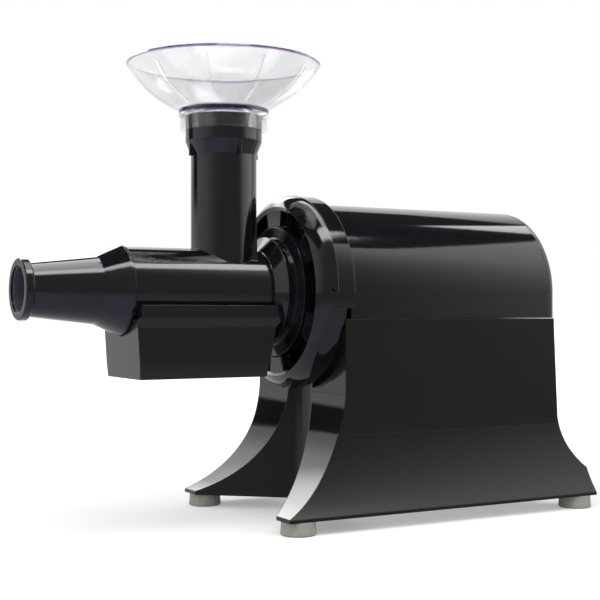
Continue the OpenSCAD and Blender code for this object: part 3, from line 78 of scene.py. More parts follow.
# Mesh work
FEET = ("foot_front_near", "foot_front_far", "foot_rear_near", "foot_rear_far")
FOOT_BORE_R = 1.9 * MM
JOIN_DISTANCE = 0.002 * MM
FLAT_ANGLE = math.radians(0.05)
SHARP_DEGREES = 13

# Moulded plastic
PLASTIC_IOR = 1.5
SATIN_IOR = 1.35
CLEAR_IOR = 1.49
SHEEN_CHANGE = 0.3

# Metal
METAL_CHANGE = 0.5

# Grain of mouldings and marks on metal
GRAIN_DEPTH = 0.02 * MM

# A wave texture of scale 1 repeats after this length
WAVE_LENGTH = math.tau / 20


# Properties

class JuicerFinish(bpy.types.PropertyGroup):
    """Colours and gloss of the juicer's mouldings"""
    gloss_colour: FloatVectorProperty(
        name="Gloss colour", description="Colour of the glossy mouldings", subtype="COLOR",
        default=(0.0055, 0.0055, 0.0078), min=0, max=1)
    gloss_roughness: FloatProperty(
        name="Gloss roughness", description="Roughness of the glossy mouldings", default=0.07, min=0, max=1)
    satin_colour: FloatVectorProperty(
        name="Satin colour", description="Colour of the base's side walls", subtype="COLOR",
        default=(0.0072, 0.0062, 0.005), min=0, max=1)
    satin_roughness: FloatProperty(
        name="Satin roughness", description="Roughness of the base's side walls", default=0.3, min=0, max=1)
    # Painted reflection: a paler colour inside the nozzle bore stands in for the bright floor and walls that its
    # gloss would show
    bore_painted_reflection_colour: FloatVectorProperty(
        name="Bore colour", description="Colour inside the nozzle, where light has dulled the gloss",
        subtype="COLOR", default=(0.075, 0.074, 0.1), min=0, max=1)
    foot_colour: FloatVectorProperty(
        name="Foot colour", description="Colour of the rubber feet", subtype="COLOR",
        default=(0.36, 0.35, 0.31), min=0, max=1)
    funnel_colour: FloatVectorProperty(
        name="Funnel colour", description="Tint of the clear funnel", subtype="COLOR",
        default=(0.978, 0.982, 0.985), min=0, max=1)
    # The rim's dark violet line is partly the plastic's own tint and partly painted shade of the edge
    funnel_rim_tint_and_shade: FloatVectorProperty(
        name="Funnel rim colour", description="Tint of the funnel's upper edge", subtype="COLOR",
        default=(0.2, 0.1, 0.36), min=0, max=1)
    # Painted shade: a near-black band at the funnel's root, where the clear plastic only looks dark
    funnel_root_painted_shade: FloatVectorProperty(
        name="Funnel root colour", description="Tint of the funnel's root, where it is thick",
        subtype="COLOR", default=(0.004, 0.003, 0.012), min=0, max=1)
    edge_round: FloatProperty(
        name="Edge rounding", description="Rounding of the moulded edges", unit="LENGTH",
        default=0.8 * MM, min=0)


class JuicerStage(bpy.types.PropertyGroup):
    """Camera, floor and light"""
    camera_place: FloatVectorProperty(
        name="Camera place", description="Where the camera stands", subtype="TRANSLATION", unit="LENGTH",
        default=(-0.54088, -0.96207, 0.18080))
    camera_yaw: FloatProperty(
        name="Camera yaw", description="Turn of the view from the far side towards the motor",
        subtype="ANGLE", default=0.5122)
    camera_rise: FloatProperty(
        name="Camera rise", description="How far the view looks up", subtype="ANGLE", default=0.0108)
    lens: FloatProperty(
        name="Lens", description="Focal length, mm on a 36 mm sensor", default=73.285, min=10)
    fill: FloatProperty(
        name="Fill", description="Level of the light from all round", default=0.55, min=0)
    key_power: FloatProperty(
        name="Key power", description="Power that each soft lamp has its own share of", unit="POWER",
        default=18.0, min=0)
    floor_half: FloatProperty(
        name="Floor half width", description="Half the width of the floor", unit="LENGTH",
        default=14.0, min=1)
    floor_colour: FloatVectorProperty(
        name="Floor colour", description="Colour of the floor", subtype="COLOR",
        default=(0.8, 0.8, 0.8), min=0, max=1)
    floor_lift: FloatProperty(
        name="Floor lift", description="What the floor adds to its own light where it is looked at",
        default=0.3, min=0)
    floor_far_lift: FloatProperty(
        name="Floor far lift", description="What it adds far from the object, so that no horizon shows",
        default=1.0, min=0)
    floor_gloss: FloatVectorProperty(
        name="Floor in gloss", description="The floor before the object, as gloss shows it",
        subtype="COLOR", default=(0.47, 0.47, 0.53), min=0, max=1)
    floor_gloss_left: FloatVectorProperty(
        name="Floor in gloss, left", description="The floor before the nozzle, as gloss shows it",
        subtype="COLOR", default=(0.6, 0.58, 0.8), min=0, max=1)
    floor_gloss_far: FloatVectorProperty(
        name="Floor in gloss, far", description="The floor far in front, as gloss shows it",
        subtype="COLOR", default=(0.27, 0.27, 0.27), min=0, max=1)
    floor_gloss_behind: FloatVectorProperty(
        name="Floor in gloss, behind", description="The floor behind the object, as gloss shows it",
        subtype="COLOR", default=(0.82, 0.82, 0.84), min=0, max=1)


# Node building

class Field:
    """An output of a node, on which arithmetic adds Math nodes."""

    def __init__(self, maker, socket):
        self.maker, self.socket = maker, socket

    def _math(self, operation, left, right):
        return self.maker.add("ShaderNodeMath", {"operation": operation}, {0: left, 1: right})

    def __add__(self, other):
        return self._math("ADD", self, other)

    __radd__ = __add__

    def __sub__(self, other):
        return self._math("SUBTRACT", self, other)

    def __rsub__(self, other):
        return self._math("SUBTRACT", other, self)

    def __mul__(self, other):
        return self._math("MULTIPLY", self, other)

    __rmul__ = __mul__

    def __truediv__(self, other):
        return self._math("DIVIDE", self, other)

    def __pow__(self, other):
        return self._math("POWER", self, other)


class Maker:
    """Adds nodes to one tree."""

    def __init__(self, tree):
        self.tree = tree

    def add(self, kind, settings=None, inputs=None, output=0):
        """A new node with its settings made first, then its sockets, each a value or a Field."""
        node = self.tree.nodes.new(kind)
        for name, value in (settings or {}).items():
            setattr(node, name, value)
        for key, value in (inputs or {}).items():
            if isinstance(value, Field):
                self.tree.links.new(value.socket, node.inputs[key])
            else:
                node.inputs[key].default_value = value
        return Field(self, node.outputs[output]) if len(node.outputs) else None

    def larger(self, left, right):
        """The larger of two values."""
        return self.add("ShaderNodeMath", {"operation": "MAXIMUM"}, {0: left, 1: right})

    def between(self, value, low, high):
        """Runs smoothly from 0 at low to 1 at high, which may be the smaller of the two."""
        return self.add("ShaderNodeMapRange", {"interpolation_type": "SMOOTHSTEP"},
                        {"Value": value, "From Min": low, "From Max": high})

    def window(self, value, low, low_full, high_full, high):
        """Is 1 from low_full to high_full, and fades to 0 at low and at high."""
        return self.between(value, low, low_full) * self.between(value, high, high_full)

    def outputs(self, field, *names):
        """The named outputs of the node that a Field comes from."""
        return [Field(self, field.socket.node.outputs[name]) for name in names]

    def axes(self, vector):
        """The three parts of a vector."""
        return self.outputs(self.add("ShaderNodeSeparateXYZ", {}, {"Vector": vector}), "X", "Y", "Z")

    def colours(self, factor, first, second):
        """A colour that goes from the first to the second as the factor rises."""
        ends = {"Factor": factor, "A": first, "B": second}
        return self.add("ShaderNodeMix", {"data_type": "RGBA"}, ends, output=2)

    def noise(self, place, scale, detail=2.0):
        """A cloudy pattern."""
        return self.add("ShaderNodeTexNoise", {}, {"Vector": place, "Scale": scale, "Detail": detail})

    def bump(self, height, depth, strength=1.0, normal=None):
        """A normal, the surface's own or another, that a pattern of heights tilts."""
        inputs = {"Strength": strength, "Distance": depth, "Height": height}
        if normal:
            inputs["Normal"] = normal
        return self.add("ShaderNodeBump", {}, inputs)

    def soft_edges(self, radius):
        """A normal that rounds the edges."""
        return self.add("ShaderNodeBevel", {"samples": 6}, {"Radius": radius})

    def principled(self, inputs):
        """A Principled shader."""
        return self.add("ShaderNodeBsdfPrincipled", {}, inputs)

    def surface(self, shader):
        """Ends a material's tree."""
        self.add("ShaderNodeOutputMaterial", {}, {"Surface": shader})

    def rays(self):
        """Which rays look straight or through something clear, and which are mirrored."""
        seen, through, glossy = self.outputs(
            self.add("ShaderNodeLightPath"), "Is Camera Ray", "Is Transmission Ray", "Is Glossy Ray")
        return self.larger(seen, through), glossy


MATERIALS = {}


def new_material(name):
    """An empty material, kept by its name in MATERIALS, and the maker of its nodes."""
    material = bpy.data.materials.new(name)
    material.use_nodes = True
    material.node_tree.nodes.clear()
    MATERIALS[name] = material
    return Maker(material.node_tree)


def rgba(colour):
    """A colour with its alpha."""
    return (*colour, 1.0)


def place_of(maker, stretch=None):
    """Where a point lies on the object, stretched for brushed and drawn marks."""
    place = maker.add("ShaderNodeTexCoord", output="Object")
    if stretch is None:
        return place
    return maker.add("ShaderNodeMapping", {}, {"Vector": place, "Scale": stretch})


def uneven(level, change, pattern):
    """A level that a pattern from 0 to 1 lowers or lifts by half the change."""
    return level * (1 - change / 2) + level * change * pattern


# Finishes

def moulded(name, colour, roughness, grain, edge, bore_painted_reflection=None):
    """A moulded plastic: slight waves in its gloss, a grain, softened edges, and a painted reflection that makes
    the nozzle bore paler.
    """
    bore_skin, mouth_fade = 0.3 * MM, 5 * MM
    maker = new_material(name)
    place = place_of(maker)
    broad = maker.noise(place, scale=18.0, detail=3.0)
    fine = maker.noise(place, scale=1.0 / grain)
    tint = rgba(colour)
    # Painted reflection: the nozzle bore is made paler where its gloss would show the bright floor and walls
    if bore_painted_reflection:
        x, y, z = maker.axes(place)
        height = z - AXIS_Z
        off_axis = (y * y + height * height) ** 0.5
        inside = maker.between(off_axis, NOZZLE_BORE_R, NOZZLE_BORE_R - bore_skin) \
            * maker.between(x, PAINTED_BORE_END_X + mouth_fade, PAINTED_BORE_END_X)
        tint = maker.colours(inside, tint, rgba(bore_painted_reflection))
    maker.surface(maker.principled({
        "Base Color": tint, "Roughness": uneven(roughness, SHEEN_CHANGE, broad), "IOR": PLASTIC_IOR,
        "Normal": maker.bump(fine, GRAIN_DEPTH, normal=maker.soft_edges(edge))}))


def moulded_pair(name, colour, gloss, satin, edge):
    """A glossy moulding whose long side walls are satin."""
    gloss_grain, satin_grain = 0.001 * MM, 0.006 * MM
    side_from, side_full = 0.35, 0.6
    maker = new_material(name)
    place = place_of(maker)
    broad = maker.noise(place, scale=14.0, detail=3.0)
    fine = maker.noise(place, scale=1100.0)
    soft = maker.soft_edges(edge)
    front, side = [
        maker.principled({
            "Base Color": rgba(colour), "IOR": ior, "Roughness": uneven(roughness, SHEEN_CHANGE, broad),
            "Normal": maker.bump(fine, depth, normal=soft)})
        for roughness, ior, depth in ((gloss, PLASTIC_IOR, gloss_grain), (satin, SATIN_IOR, satin_grain))]
    sideways = maker.axes(maker.add("ShaderNodeTexCoord", output="Normal"))[1]
    faces_side = maker.between(sideways * sideways, side_from, side_full)
    maker.surface(maker.add("ShaderNodeMixShader", {}, {0: faces_side, 1: front, 2: side}))


def metal(name, colour, roughness, stretch=None, mark=0.8 * MM):
    """A worked metal: marks that may run along one direction, with a change of gloss."""
    maker = new_material(name)
    marks = maker.noise(place_of(maker, stretch), scale=1.0 / mark, detail=3.0)
    broad = maker.noise(place_of(maker), scale=40.0)
    maker.surface(maker.principled({
        "Base Color": rgba(colour), "Metallic": 1.0,
        "Roughness": uneven(roughness, METAL_CHANGE, broad),
        "Normal": maker.bump(marks, GRAIN_DEPTH, strength=0.5)}))


def clear_plastic(name, colour, rim_tint_and_shade, root_painted_shade):
    """A clear moulding with a dark violet line at its rim, partly its own tint and partly painted shade, and
    painted shade at its root; its shadow stays pale.
    """
    root_band = [FUNNEL_ROOT_Z + rise * MM for rise in (1.3, 1.8, 4.9, 5.4)]
    rim_band = [FUNNEL_TOP_Z - drop * MM for drop in (2.156, 1.556)]
    collar = [FUNNEL_ROOT_Z + rise * MM for rise in (0.2, -0.2)]
    bowl_passes, collar_passes_more = 0.35, 0.4
    maker = new_material(name)
    place = place_of(maker)
    waves = maker.noise(place, scale=45.0, detail=1.0)
    height = maker.axes(place)[2]
    # Painted shade: near black in the root band, and dark violet at the rim, which is partly the plastic's own
    # tint
    root = maker.window(height, *root_band)
    rim = maker.between(height, *rim_band)
    tint = maker.colours(rim, rgba(colour), rgba(rim_tint_and_shade))
    tint = maker.colours(root, tint, rgba(root_painted_shade))
    clear = maker.principled({
        "Base Color": tint, "Roughness": 0.03, "IOR": CLEAR_IOR, "Transmission Weight": 1.0,
        "Normal": maker.bump(waves, 0.04 * MM, strength=0.2)})
    passed = maker.add("ShaderNodeBsdfTransparent", {}, {"Color": rgba(colour)})
    faint = bowl_passes + collar_passes_more * maker.between(height, *collar)
    shadow = maker.add("ShaderNodeLightPath", output="Is Shadow Ray")
    thin = maker.larger(shadow, faint * (1 - root) * (1 - rim))
    maker.surface(maker.add("ShaderNodeMixShader", {}, {0: thin, 1: clear, 2: passed}))


def rubber(name, colour):
    """A matt rubber with a dusty grain."""
    bare_share, bare_roughness, dust_roughness = 0.86, 0.72, 0.15
    maker = new_material(name)
    place = place_of(maker)
    grain = maker.noise(place, scale=1500.0, detail=3.0)
    dust = maker.between(maker.noise(place, scale=160.0, detail=4.0), 0.45, 0.75)
    bare = rgba([channel * bare_share for channel in colour])
    maker.surface(maker.principled({
        "Base Color": maker.colours(dust, bare, rgba(colour)),
        "Roughness": bare_roughness + dust_roughness * dust,
        "Normal": maker.bump(grain, 0.05 * MM, strength=0.6)}))


def wound(name, colour, pitch):
    """Enamelled wire laid round the axis in turns."""
    maker = new_material(name)
    turns = maker.add("ShaderNodeTexWave", {"wave_type": "BANDS", "bands_direction": "X"}, {
        "Vector": place_of(maker), "Scale": WAVE_LENGTH / pitch, "Distortion": 1.2, "Detail": 1.0})
    maker.surface(maker.principled({
        "Base Color": rgba(colour), "Metallic": 0.6, "Roughness": 0.35,
        "Normal": maker.bump(turns, 0.3 * MM)}))


def make_materials(finish):
    """One material for each slot of the record, and one more for the barrel."""
    edge = finish.edge_round
    gloss = (finish.gloss_colour, finish.gloss_roughness, 9 * MM, edge)
    moulded("gloss_black", *gloss)
    # The barrel's gloss black, with the painted reflection inside its nozzle bore
    moulded("barrel_black", *gloss, bore_painted_reflection=finish.bore_painted_reflection_colour)
    moulded_pair("satin_black", finish.satin_colour, finish.gloss_roughness, finish.satin_roughness,
                 edge * 1.5)
    moulded("white_nylon", (0.74, 0.73, 0.68), 0.42, 0.8 * MM, edge)
    moulded("black_trim", (0.016, 0.016, 0.016), 0.36, 0.6 * MM, edge / 2)
    clear_plastic("clear_plastic", finish.funnel_colour, finish.funnel_rim_tint_and_shade,
                  finish.funnel_root_painted_shade)
    rubber("foot_rubber", finish.foot_colour)
    rubber("black_rubber", (0.015, 0.015, 0.015))
    metal("steel", (0.62, 0.63, 0.65), 0.24, stretch=(0.05, 1, 1))
    metal("zinc_steel", (0.42, 0.43, 0.45), 0.42)
    metal("cast_aluminium", (0.55, 0.56, 0.57), 0.5, mark=1.6 * MM)
    metal("capacitor_case", (0.5, 0.51, 0.53), 0.3, stretch=(0.04, 1, 1))
    wound("copper_wire", (0.6, 0.24, 0.08), 1.583 * MM)


# Mesh building

def close_foot_bores(form):
    """Closes the bores of the foot screws, which break through the toes' rounded tops."""
    reach, start = FOOT_BORE_R + 0.1 * MM, 1.5 * MM
    for foot in FEET:
        corners = [vertex.co for vertex in frame["nodes"][foot].data.vertices]
        x, y = [(min(c[i] for c in corners) + max(c[i] for c in corners)) / 2 for i in (0, 1)]
        foot_top = max(c[2] for c in corners)
        wall = [face for face in form.faces if all(
            math.hypot(v.co.x - x, v.co.y - y) < reach and v.co.z > foot_top - start for v in face.verts)]
        bmesh.ops.delete(form, geom=wall, context="FACES")
    bmesh.ops.holes_fill(form, edges=[edge for edge in form.edges if edge.is_boundary], sides=0)


def merged_form(node):
    """A bmesh of a node's mesh with its loose triangles joined."""
    form = bmesh.new()
    form.from_mesh(frame["nodes"][node].data)
    bmesh.ops.remove_doubles(form, verts=form.verts, dist=JOIN_DISTANCE)
    return form


def joined_copy(node, sharp):
    """A copy of a node's mesh with flat faces whole, and edges smooth where they turn less than sharp."""
    form = merged_form(node)
    if node == "base_housing":
        close_foot_bores(form)
    bmesh.ops.dissolve_limit(form, angle_limit=FLAT_ANGLE, verts=form.verts, edges=form.edges)
    for face in form.faces:
        face.smooth = True
    for edge in form.edges:
        edge.smooth = len(edge.link_faces) == 2 and edge.calc_face_angle(math.pi) < sharp
    mesh = bpy.data.meshes.new(node)
    form.to_mesh(mesh)
    form.free()
    return mesh


def body_of(node):
    """The body that the record gives a node."""
    for body, members in frame["record"]["behaviour"]["bodies"].items():
        if node in members:
            return body
    raise ValueError(f"no body holds {node}")


def slot_of(node):
    """The material slot that the record gives a node."""
    for row in frame["record"]["subparts"]:
        if row["node"] == node:
            return row["material_slot"]
    raise ValueError(f"no slot for {node}")


def stand_in(node, mesh):
    """Puts a mesh in the scene as a piece that rides on a CAD node's body and stands for the node."""
    name = f"{node}_form"
    mesh.name = name
    piece = bpy.data.objects.new(name, mesh)
    bpy.context.scene.collection.objects.link(piece)
    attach(piece, body_of(node))
    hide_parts(node)
    return piece


def dress(node, sharp=SHARP_DEGREES, finish=None):
    """Stands a joined, smooth copy in for a CAD node, in its slot's finish or another."""
    mesh = joined_copy(node, math.radians(sharp))
    mesh.materials.append(MATERIALS[finish or slot_of(node)])
    even = stand_in(node, mesh).modifiers.new("even_shading", "WEIGHTED_NORMAL")
    even.keep_sharp = True


def paint(*nodes):
    """Gives CAD nodes that stay as they are their finish."""
    for node in nodes:
        for material_slot in frame["nodes"][node].material_slots:
            material_slot.material = MATERIALS[slot_of(node)]


# Screws

def islands(form):
    """The separate pieces of a mesh, in the order of their first vertices, each a list of vertices."""
    left = set(form.verts)
    for first in form.verts:
        if first not in left:
            continue
        left.remove(first)
        piece, waiting = [], [first]
        while waiting:
            vertex = waiting.pop()
            piece.append(vertex)
            for edge in vertex.link_edges:
                other = edge.other_vert(vertex)
                if other in left:
                    left.remove(other)
                    waiting.append(other)
        yield piece


def across(offset, along):
    """How far an offset reaches away from an axis."""
    flat = offset.copy()
    flat[along] = 0
    return flat.length


class ScrewSet:
    """Where a CAD node's equal screws stand, and how large they are."""
    # Shares of the head's radius past which a point is on the head's rim, or on the shank and not the axis
    head_share = 0.9
    shank_share = 0.25

    def __init__(self, node):
        form = merged_form(node)
        self.heads = []
        for piece in islands(form):
            low = Vector([min(v.co[i] for v in piece) for i in range(3)])
            high = Vector([max(v.co[i] for v in piece) for i in range(3)])
            size = high - low
            along = max(range(3), key=lambda i: size[i])
            middle = (low + high) / 2
            points = [(v.co[along] - low[along], across(v.co - middle, along)) for v in piece]
            self.length = size[along]
            self.head_r = max(reach for _, reach in points)
            self.shank_r = min(reach for _, reach in points if reach > self.shank_share * self.head_r)
            head = [height for height, reach in points if reach > self.head_share * self.head_r]
            head_low = sum(head) / len(head) < self.length / 2
            self.head_h = max(head) if head_low else self.length - min(head)
            self.axis = Vector([0, 0, 0])
            self.axis[along] = 1 if head_low else -1
            middle[along] = low[along] if head_low else high[along]
            self.heads.append(middle)
        form.free()


def screw_profile(screws, turns=14):
    """A screw's outline as radius and depth, from the middle of its domed head to its tip."""
    flat, shoulder = 0.55 * screws.head_r, 0.85 * screws.head_r
    dome_h = 0.45 * screws.head_h
    shoulder_h = 0.35 * dome_h
    core_r, tip_r = 0.86 * screws.shank_r, 0.8 * screws.shank_r
    tip_h = 0.97 * screws.length
    pitch = 0.9 * (screws.length - screws.head_h) / turns
    foot, crest, valley = 0.2 * pitch, 0.4 * pitch, 0.8 * pitch
    profile = [(0.0, 0.0), (flat, 0.0), (shoulder, shoulder_h), (screws.head_r, dome_h),
               (screws.head_r, screws.head_h), (core_r, screws.head_h)]
    for turn in range(turns):
        start = screws.head_h + pitch * turn + foot
        profile += [(core_r, start), (screws.shank_r, start + crest), (core_r, start + valley)]
    return profile + [(tip_r, tip_h), (0.0, screws.length)]


def lathed(profile, steps=28):
    """An object with the closed form that a profile, from axis to axis, makes when turned about Z."""
    form = bmesh.new()
    rings = []
    for radius, height in profile:
        angles = [math.tau * i / steps for i in range(steps if radius else 1)]
        rings.append([form.verts.new((radius * math.cos(a), radius * math.sin(a), height)) for a in angles])
    for lower, upper in zip(rings, rings[1:]):
        for i in range(steps):
            j = (i + 1) % steps
            if len(lower) == 1:
                form.faces.new((lower[0], upper[j], upper[i]))
            elif len(upper) == 1:
                form.faces.new((lower[i], lower[j], upper[0]))
            else:
                form.faces.new((lower[i], lower[j], upper[j], upper[i]))
    bmesh.ops.recalc_face_normals(form, faces=form.faces)
    return new_object("lathed", form)


def recess_bar(long, wide, depth, taper=0.7):
    """An object with one bar of a cross recess, narrower at its inner end."""
    form = bmesh.new()
    bmesh.ops.create_cube(form, size=2.0)
    for vertex in form.verts:
        share = taper if vertex.co.z > 0 else 1.0
        vertex.co = Vector((vertex.co.x * long * share, vertex.co.y * wide * share, vertex.co.z * depth))
    return new_object("recess_bar", form)


def new_object(name, form):
    """An object in the scene with a bmesh's mesh, there only while it is worked on."""
    mesh = bpy.data.meshes.new(name)
    form.to_mesh(mesh)
    form.free()
    item = bpy.data.objects.new(name, mesh)
    bpy.context.scene.collection.objects.link(item)
    return item


def plain_mesh(item, *helpers):
    """The mesh that an object's modifiers give; the object and its helpers are removed."""
    bpy.context.view_layer.update()
    mesh = bpy.data.meshes.new_from_object(item.evaluated_get(bpy.context.evaluated_depsgraph_get()))
    for used in (item, *helpers):
        bpy.data.objects.remove(used)
    return mesh


def screw_mesh(screws):
    """One screw along its axis from the middle of its head: dome, cross recess and a thread of rings."""
    arm, depth = 0.62 * screws.head_r, 0.6 * screws.head_h
    slit = 0.24 * arm
    blank = lathed(screw_profile(screws))
    bars = [recess_bar(arm, slit, depth), recess_bar(slit, arm, depth)]
    for bar in bars:
        cut = blank.modifiers.new("recess", "BOOLEAN")
        cut.operation, cut.solver, cut.object = "DIFFERENCE", "EXACT", bar
    mesh = plain_mesh(blank, *bars)
    mesh.transform(Vector((0, 0, 1)).rotation_difference(screws.axis).to_matrix().to_4x4())
    for polygon in mesh.polygons:
        polygon.use_smooth = True
    mesh.set_sharp_from_angle(angle=math.radians(30))
    return mesh


def screw_group():
    """Geometry Nodes that stand a screw on every point, each turned its own way about its axis."""
    tree = bpy.data.node_groups.new("screws_on_points", "GeometryNodeTree")
    names = (("Geometry", "Geometry"), ("Screw", "Object"), ("Axis", "Vector"), ("Most turn", "Float"),
             ("Seed", "Int"), ("Finish", "Material"))
    sockets = {}
    for name, kind in names:
        socket = tree.interface.new_socket(name, in_out="INPUT", socket_type=f"NodeSocket{kind}")
        sockets[name] = socket.identifier
    tree.interface.new_socket("Geometry", in_out="OUTPUT", socket_type="NodeSocketGeometry")
    maker = Maker(tree)
    points, screw, axis, most_turn, seed, finish = maker.outputs(
        maker.add("NodeGroupInput"), *(name for name, kind in names))
    form = maker.add("GeometryNodeObjectInfo", {"transform_space": "ORIGINAL"},
                     {"Object": screw}, output="Geometry")
    turn = maker.add("FunctionNodeRandomValue", {"data_type": "FLOAT"},
                     {2: 0.0, 3: most_turn, "Seed": seed}, output=1)
    spin = maker.add("ShaderNodeVectorMath", {"operation": "SCALE"}, {0: axis, "Scale": turn})
    row = maker.add("GeometryNodeInstanceOnPoints", {},
                    {"Points": points, "Instance": form, "Rotation": spin})
    whole = maker.add("GeometryNodeRealizeInstances", {}, {"Geometry": row})
    done = maker.add("GeometryNodeSetMaterial", {}, {"Geometry": whole, "Material": finish})
    maker.add("NodeGroupOutput", {}, {"Geometry": done})
    return tree, sockets


def stand_screws(node, seed):
    """Stands detailed screws in for a CAD node of equal screws."""
    screws = ScrewSet(node)
    source = bpy.data.objects.new("screw_source", screw_mesh(screws))
    points = bpy.data.meshes.new("screw_points")
    points.from_pydata([tuple(head) for head in screws.heads], [], [])
    row = bpy.data.objects.new("screw_row", points)
    for item in (source, row):
        bpy.context.scene.collection.objects.link(item)
    layout = row.modifiers.new("layout", "NODES")
    layout.node_group, sockets = screw_group()
    for name, value in (("Screw", source), ("Axis", list(screws.axis)), ("Most turn", math.pi / 2),
                        ("Seed", seed), ("Finish", MATERIALS[slot_of(node)])):
        layout[sockets[name]] = value
    stand_in(node, plain_mesh(row, source))


# Stage

# What gloss sees is a studio round the object. A direction is a unit vector: east runs to the motor's
# rear, north to the far side and up to the ceiling. A plane 1 above the object meets it at x = east / up
# and y = north / up. Spans go from where a thing has faded out to where it is full.

def studio_walls(maker, east, north, up):
    """Walls: bright behind the object, dim before it, brightest under the ceiling, with a dark beam."""
    behind, front_loss, corner_loss, beam_loss = 0.9, 0.63, 0.3, 0.97
    cornice, cove, upper_loss_east = 0.9, 3.6, 0.93
    east_rise, beam_dip = 0.14, 0.1
    front = maker.between(north, 0.1, -0.8)
    corner = maker.between(up, 0.14, 0.11) * maker.window(east, -0.48, -0.4, -0.12, 0.0) \
        * maker.between(north, 0.2, 0.5)
    raised = up + east_rise * maker.between(east, 0.0, 0.3)
    upper = cornice * maker.between(raised, 0.3, 0.42) + cove * maker.between(raised, 0.43, 0.52)
    upper_place = maker.between(north, 0.3, 0.6) * (1 - upper_loss_east * maker.between(east, 0.2, 0.42))
    plain = behind - front_loss * front - corner_loss * corner + upper * upper_place
    beam_low = up + beam_dip * maker.between(east, -0.4, -0.45)
    beam = maker.between(beam_low, 0.17, 0.2) * maker.between(up, 0.28, 0.25) \
        * maker.between(north, 0.6, 0.7) * maker.between(east, 0.02, -0.05)
    return plain * (1 - beam_loss * beam)


def studio_panel(maker, east, north, up):
    """A bright panel that stands in front on the right."""
    panel_level, least_front = 1.65, 0.05
    turn = east / maker.larger(0 - north, least_front)
    return panel_level * maker.between(turn, 0.55, 1.2) * maker.between(up, -0.35, 0.3) \
        * maker.between(north, 0.0, -0.1)


def studio_ceiling(maker, x, y):
    """Where the dark ceiling is, but for a stretch above the panel."""
    slant = 0.195
    ceiling = maker.between(x * x + y * y, 1.75, 1.65) * maker.between(y, -0.61, -0.59) \
        * maker.between(x, 0.94, 0.92)
    over_panel = maker.between(x - slant * y, 0.882, 0.892) * maker.between(y, -0.09, -0.11)
    return ceiling * (1 - over_panel)


def studio_lamps(maker, x, y):
    """Softboxes under the ceiling: a strip in front, a wedge on the right and a strip to the back."""
    front_level, wedge_level, back_level = 9.0, 4.5, 5.0
    wedge_tip, wedge_middle, wedge_slope = 0.71, 0.235, 1.1
    front = maker.window(y, -0.66, -0.5, -0.3, -0.2) * maker.window(x, -0.5, -0.4, 0.6, 0.66)
    off_middle = maker.add("ShaderNodeMath", {"operation": "ABSOLUTE"}, {0: y - wedge_middle})
    wedge_depth = (x - wedge_tip) * wedge_slope - off_middle
    wedge = maker.between(wedge_depth, 0.0, 0.01) * maker.between(x, 1.0, 0.98)
    back = maker.window(x, 0.02, 0.08, 0.28, 0.36) * maker.window(y, -0.3, -0.2, 0.7, 0.8)
    return front_level * front + wedge_level * wedge + back_level * back


def studio_level(maker, direction):
    """What gloss shows: walls and a panel under a dark ceiling with softboxes."""
    dark_level, least_up = 0.05, 0.02
    east, north, up = maker.axes(direction)
    above = maker.larger(up, least_up)
    x, y = east / above, north / above
    walls = studio_walls(maker, east, north, up) + studio_panel(maker, east, north, up)
    dark = studio_ceiling(maker, x, y)
    high = maker.between(up, 0.0, 0.1)
    return walls * (1 - dark) + dark_level * dark + high * studio_lamps(maker, x, y)


def make_world(scene, stage):
    """White behind the object; gloss shows the studio, and matt surfaces an even light."""
    world = bpy.data.worlds.new("studio")
    world.use_nodes = True
    world.node_tree.nodes.clear()
    scene.world = world
    maker = Maker(world.node_tree)
    studio = studio_level(maker, maker.add("ShaderNodeTexCoord", output="Generated"))
    looked_at, glossy = maker.rays()
    around = maker.add("ShaderNodeMix", {"data_type": "FLOAT"}, {0: glossy, 2: stage.fill, 3: studio})
    level = maker.add("ShaderNodeMix", {"data_type": "FLOAT"}, {0: looked_at, 2: around, 3: 1.0})
    shade = maker.add("ShaderNodeBackground", {}, {"Color": level, "Strength": 1.0})
    maker.add("ShaderNodeOutputWorld", {}, {"Surface": shade})


def make_floor(scene, stage):
    """A white floor that keeps the object's shadow, and is darker in gloss than where it is looked at."""
    lift_distance, far_distance = (0.45, 2.2), (0.35, 1.6)
    left_east, behind_north = (-0.12, -0.26), (-0.12, 0.2)
    maker = new_material("floor")
    looked_at, glossy = maker.rays()
    place = maker.add("ShaderNodeTexCoord", output="Object")
    east, north, _ = maker.axes(place)
    distance = maker.add("ShaderNodeVectorMath", {"operation": "LENGTH"}, {0: place}, output=1)
    far_more = stage.floor_far_lift - stage.floor_lift
    lift = stage.floor_lift + far_more * maker.between(distance, *lift_distance)
    own = maker.principled({
        "Base Color": rgba(stage.floor_colour), "Roughness": 0.9, "Specular IOR Level": 0.0,
        "Emission Color": looked_at * lift, "Emission Strength": 1.0})
    shown = rgba(stage.floor_gloss)
    for value, span, colour in (
            (east, left_east, stage.floor_gloss_left), (distance, far_distance, stage.floor_gloss_far),
            (north, behind_north, stage.floor_gloss_behind)):
        shown = maker.colours(maker.between(value, *span), shown, rgba(colour))
    mirrored = maker.add("ShaderNodeEmission", {}, {"Color": shown})
    maker.surface(maker.add("ShaderNodeMixShader", {}, {0: glossy, 1: own, 2: mirrored}))
    half = stage.floor_half
    corners = [(-half, -half, 0), (half, -half, 0), (half, half, 0), (-half, half, 0)]
    mesh = bpy.data.meshes.new("floor")
    mesh.from_pydata(corners, [], [(0, 1, 2, 3)])
    mesh.materials.append(MATERIALS["floor"])
    floor = bpy.data.objects.new("floor", mesh)
    scene.collection.objects.link(floor)


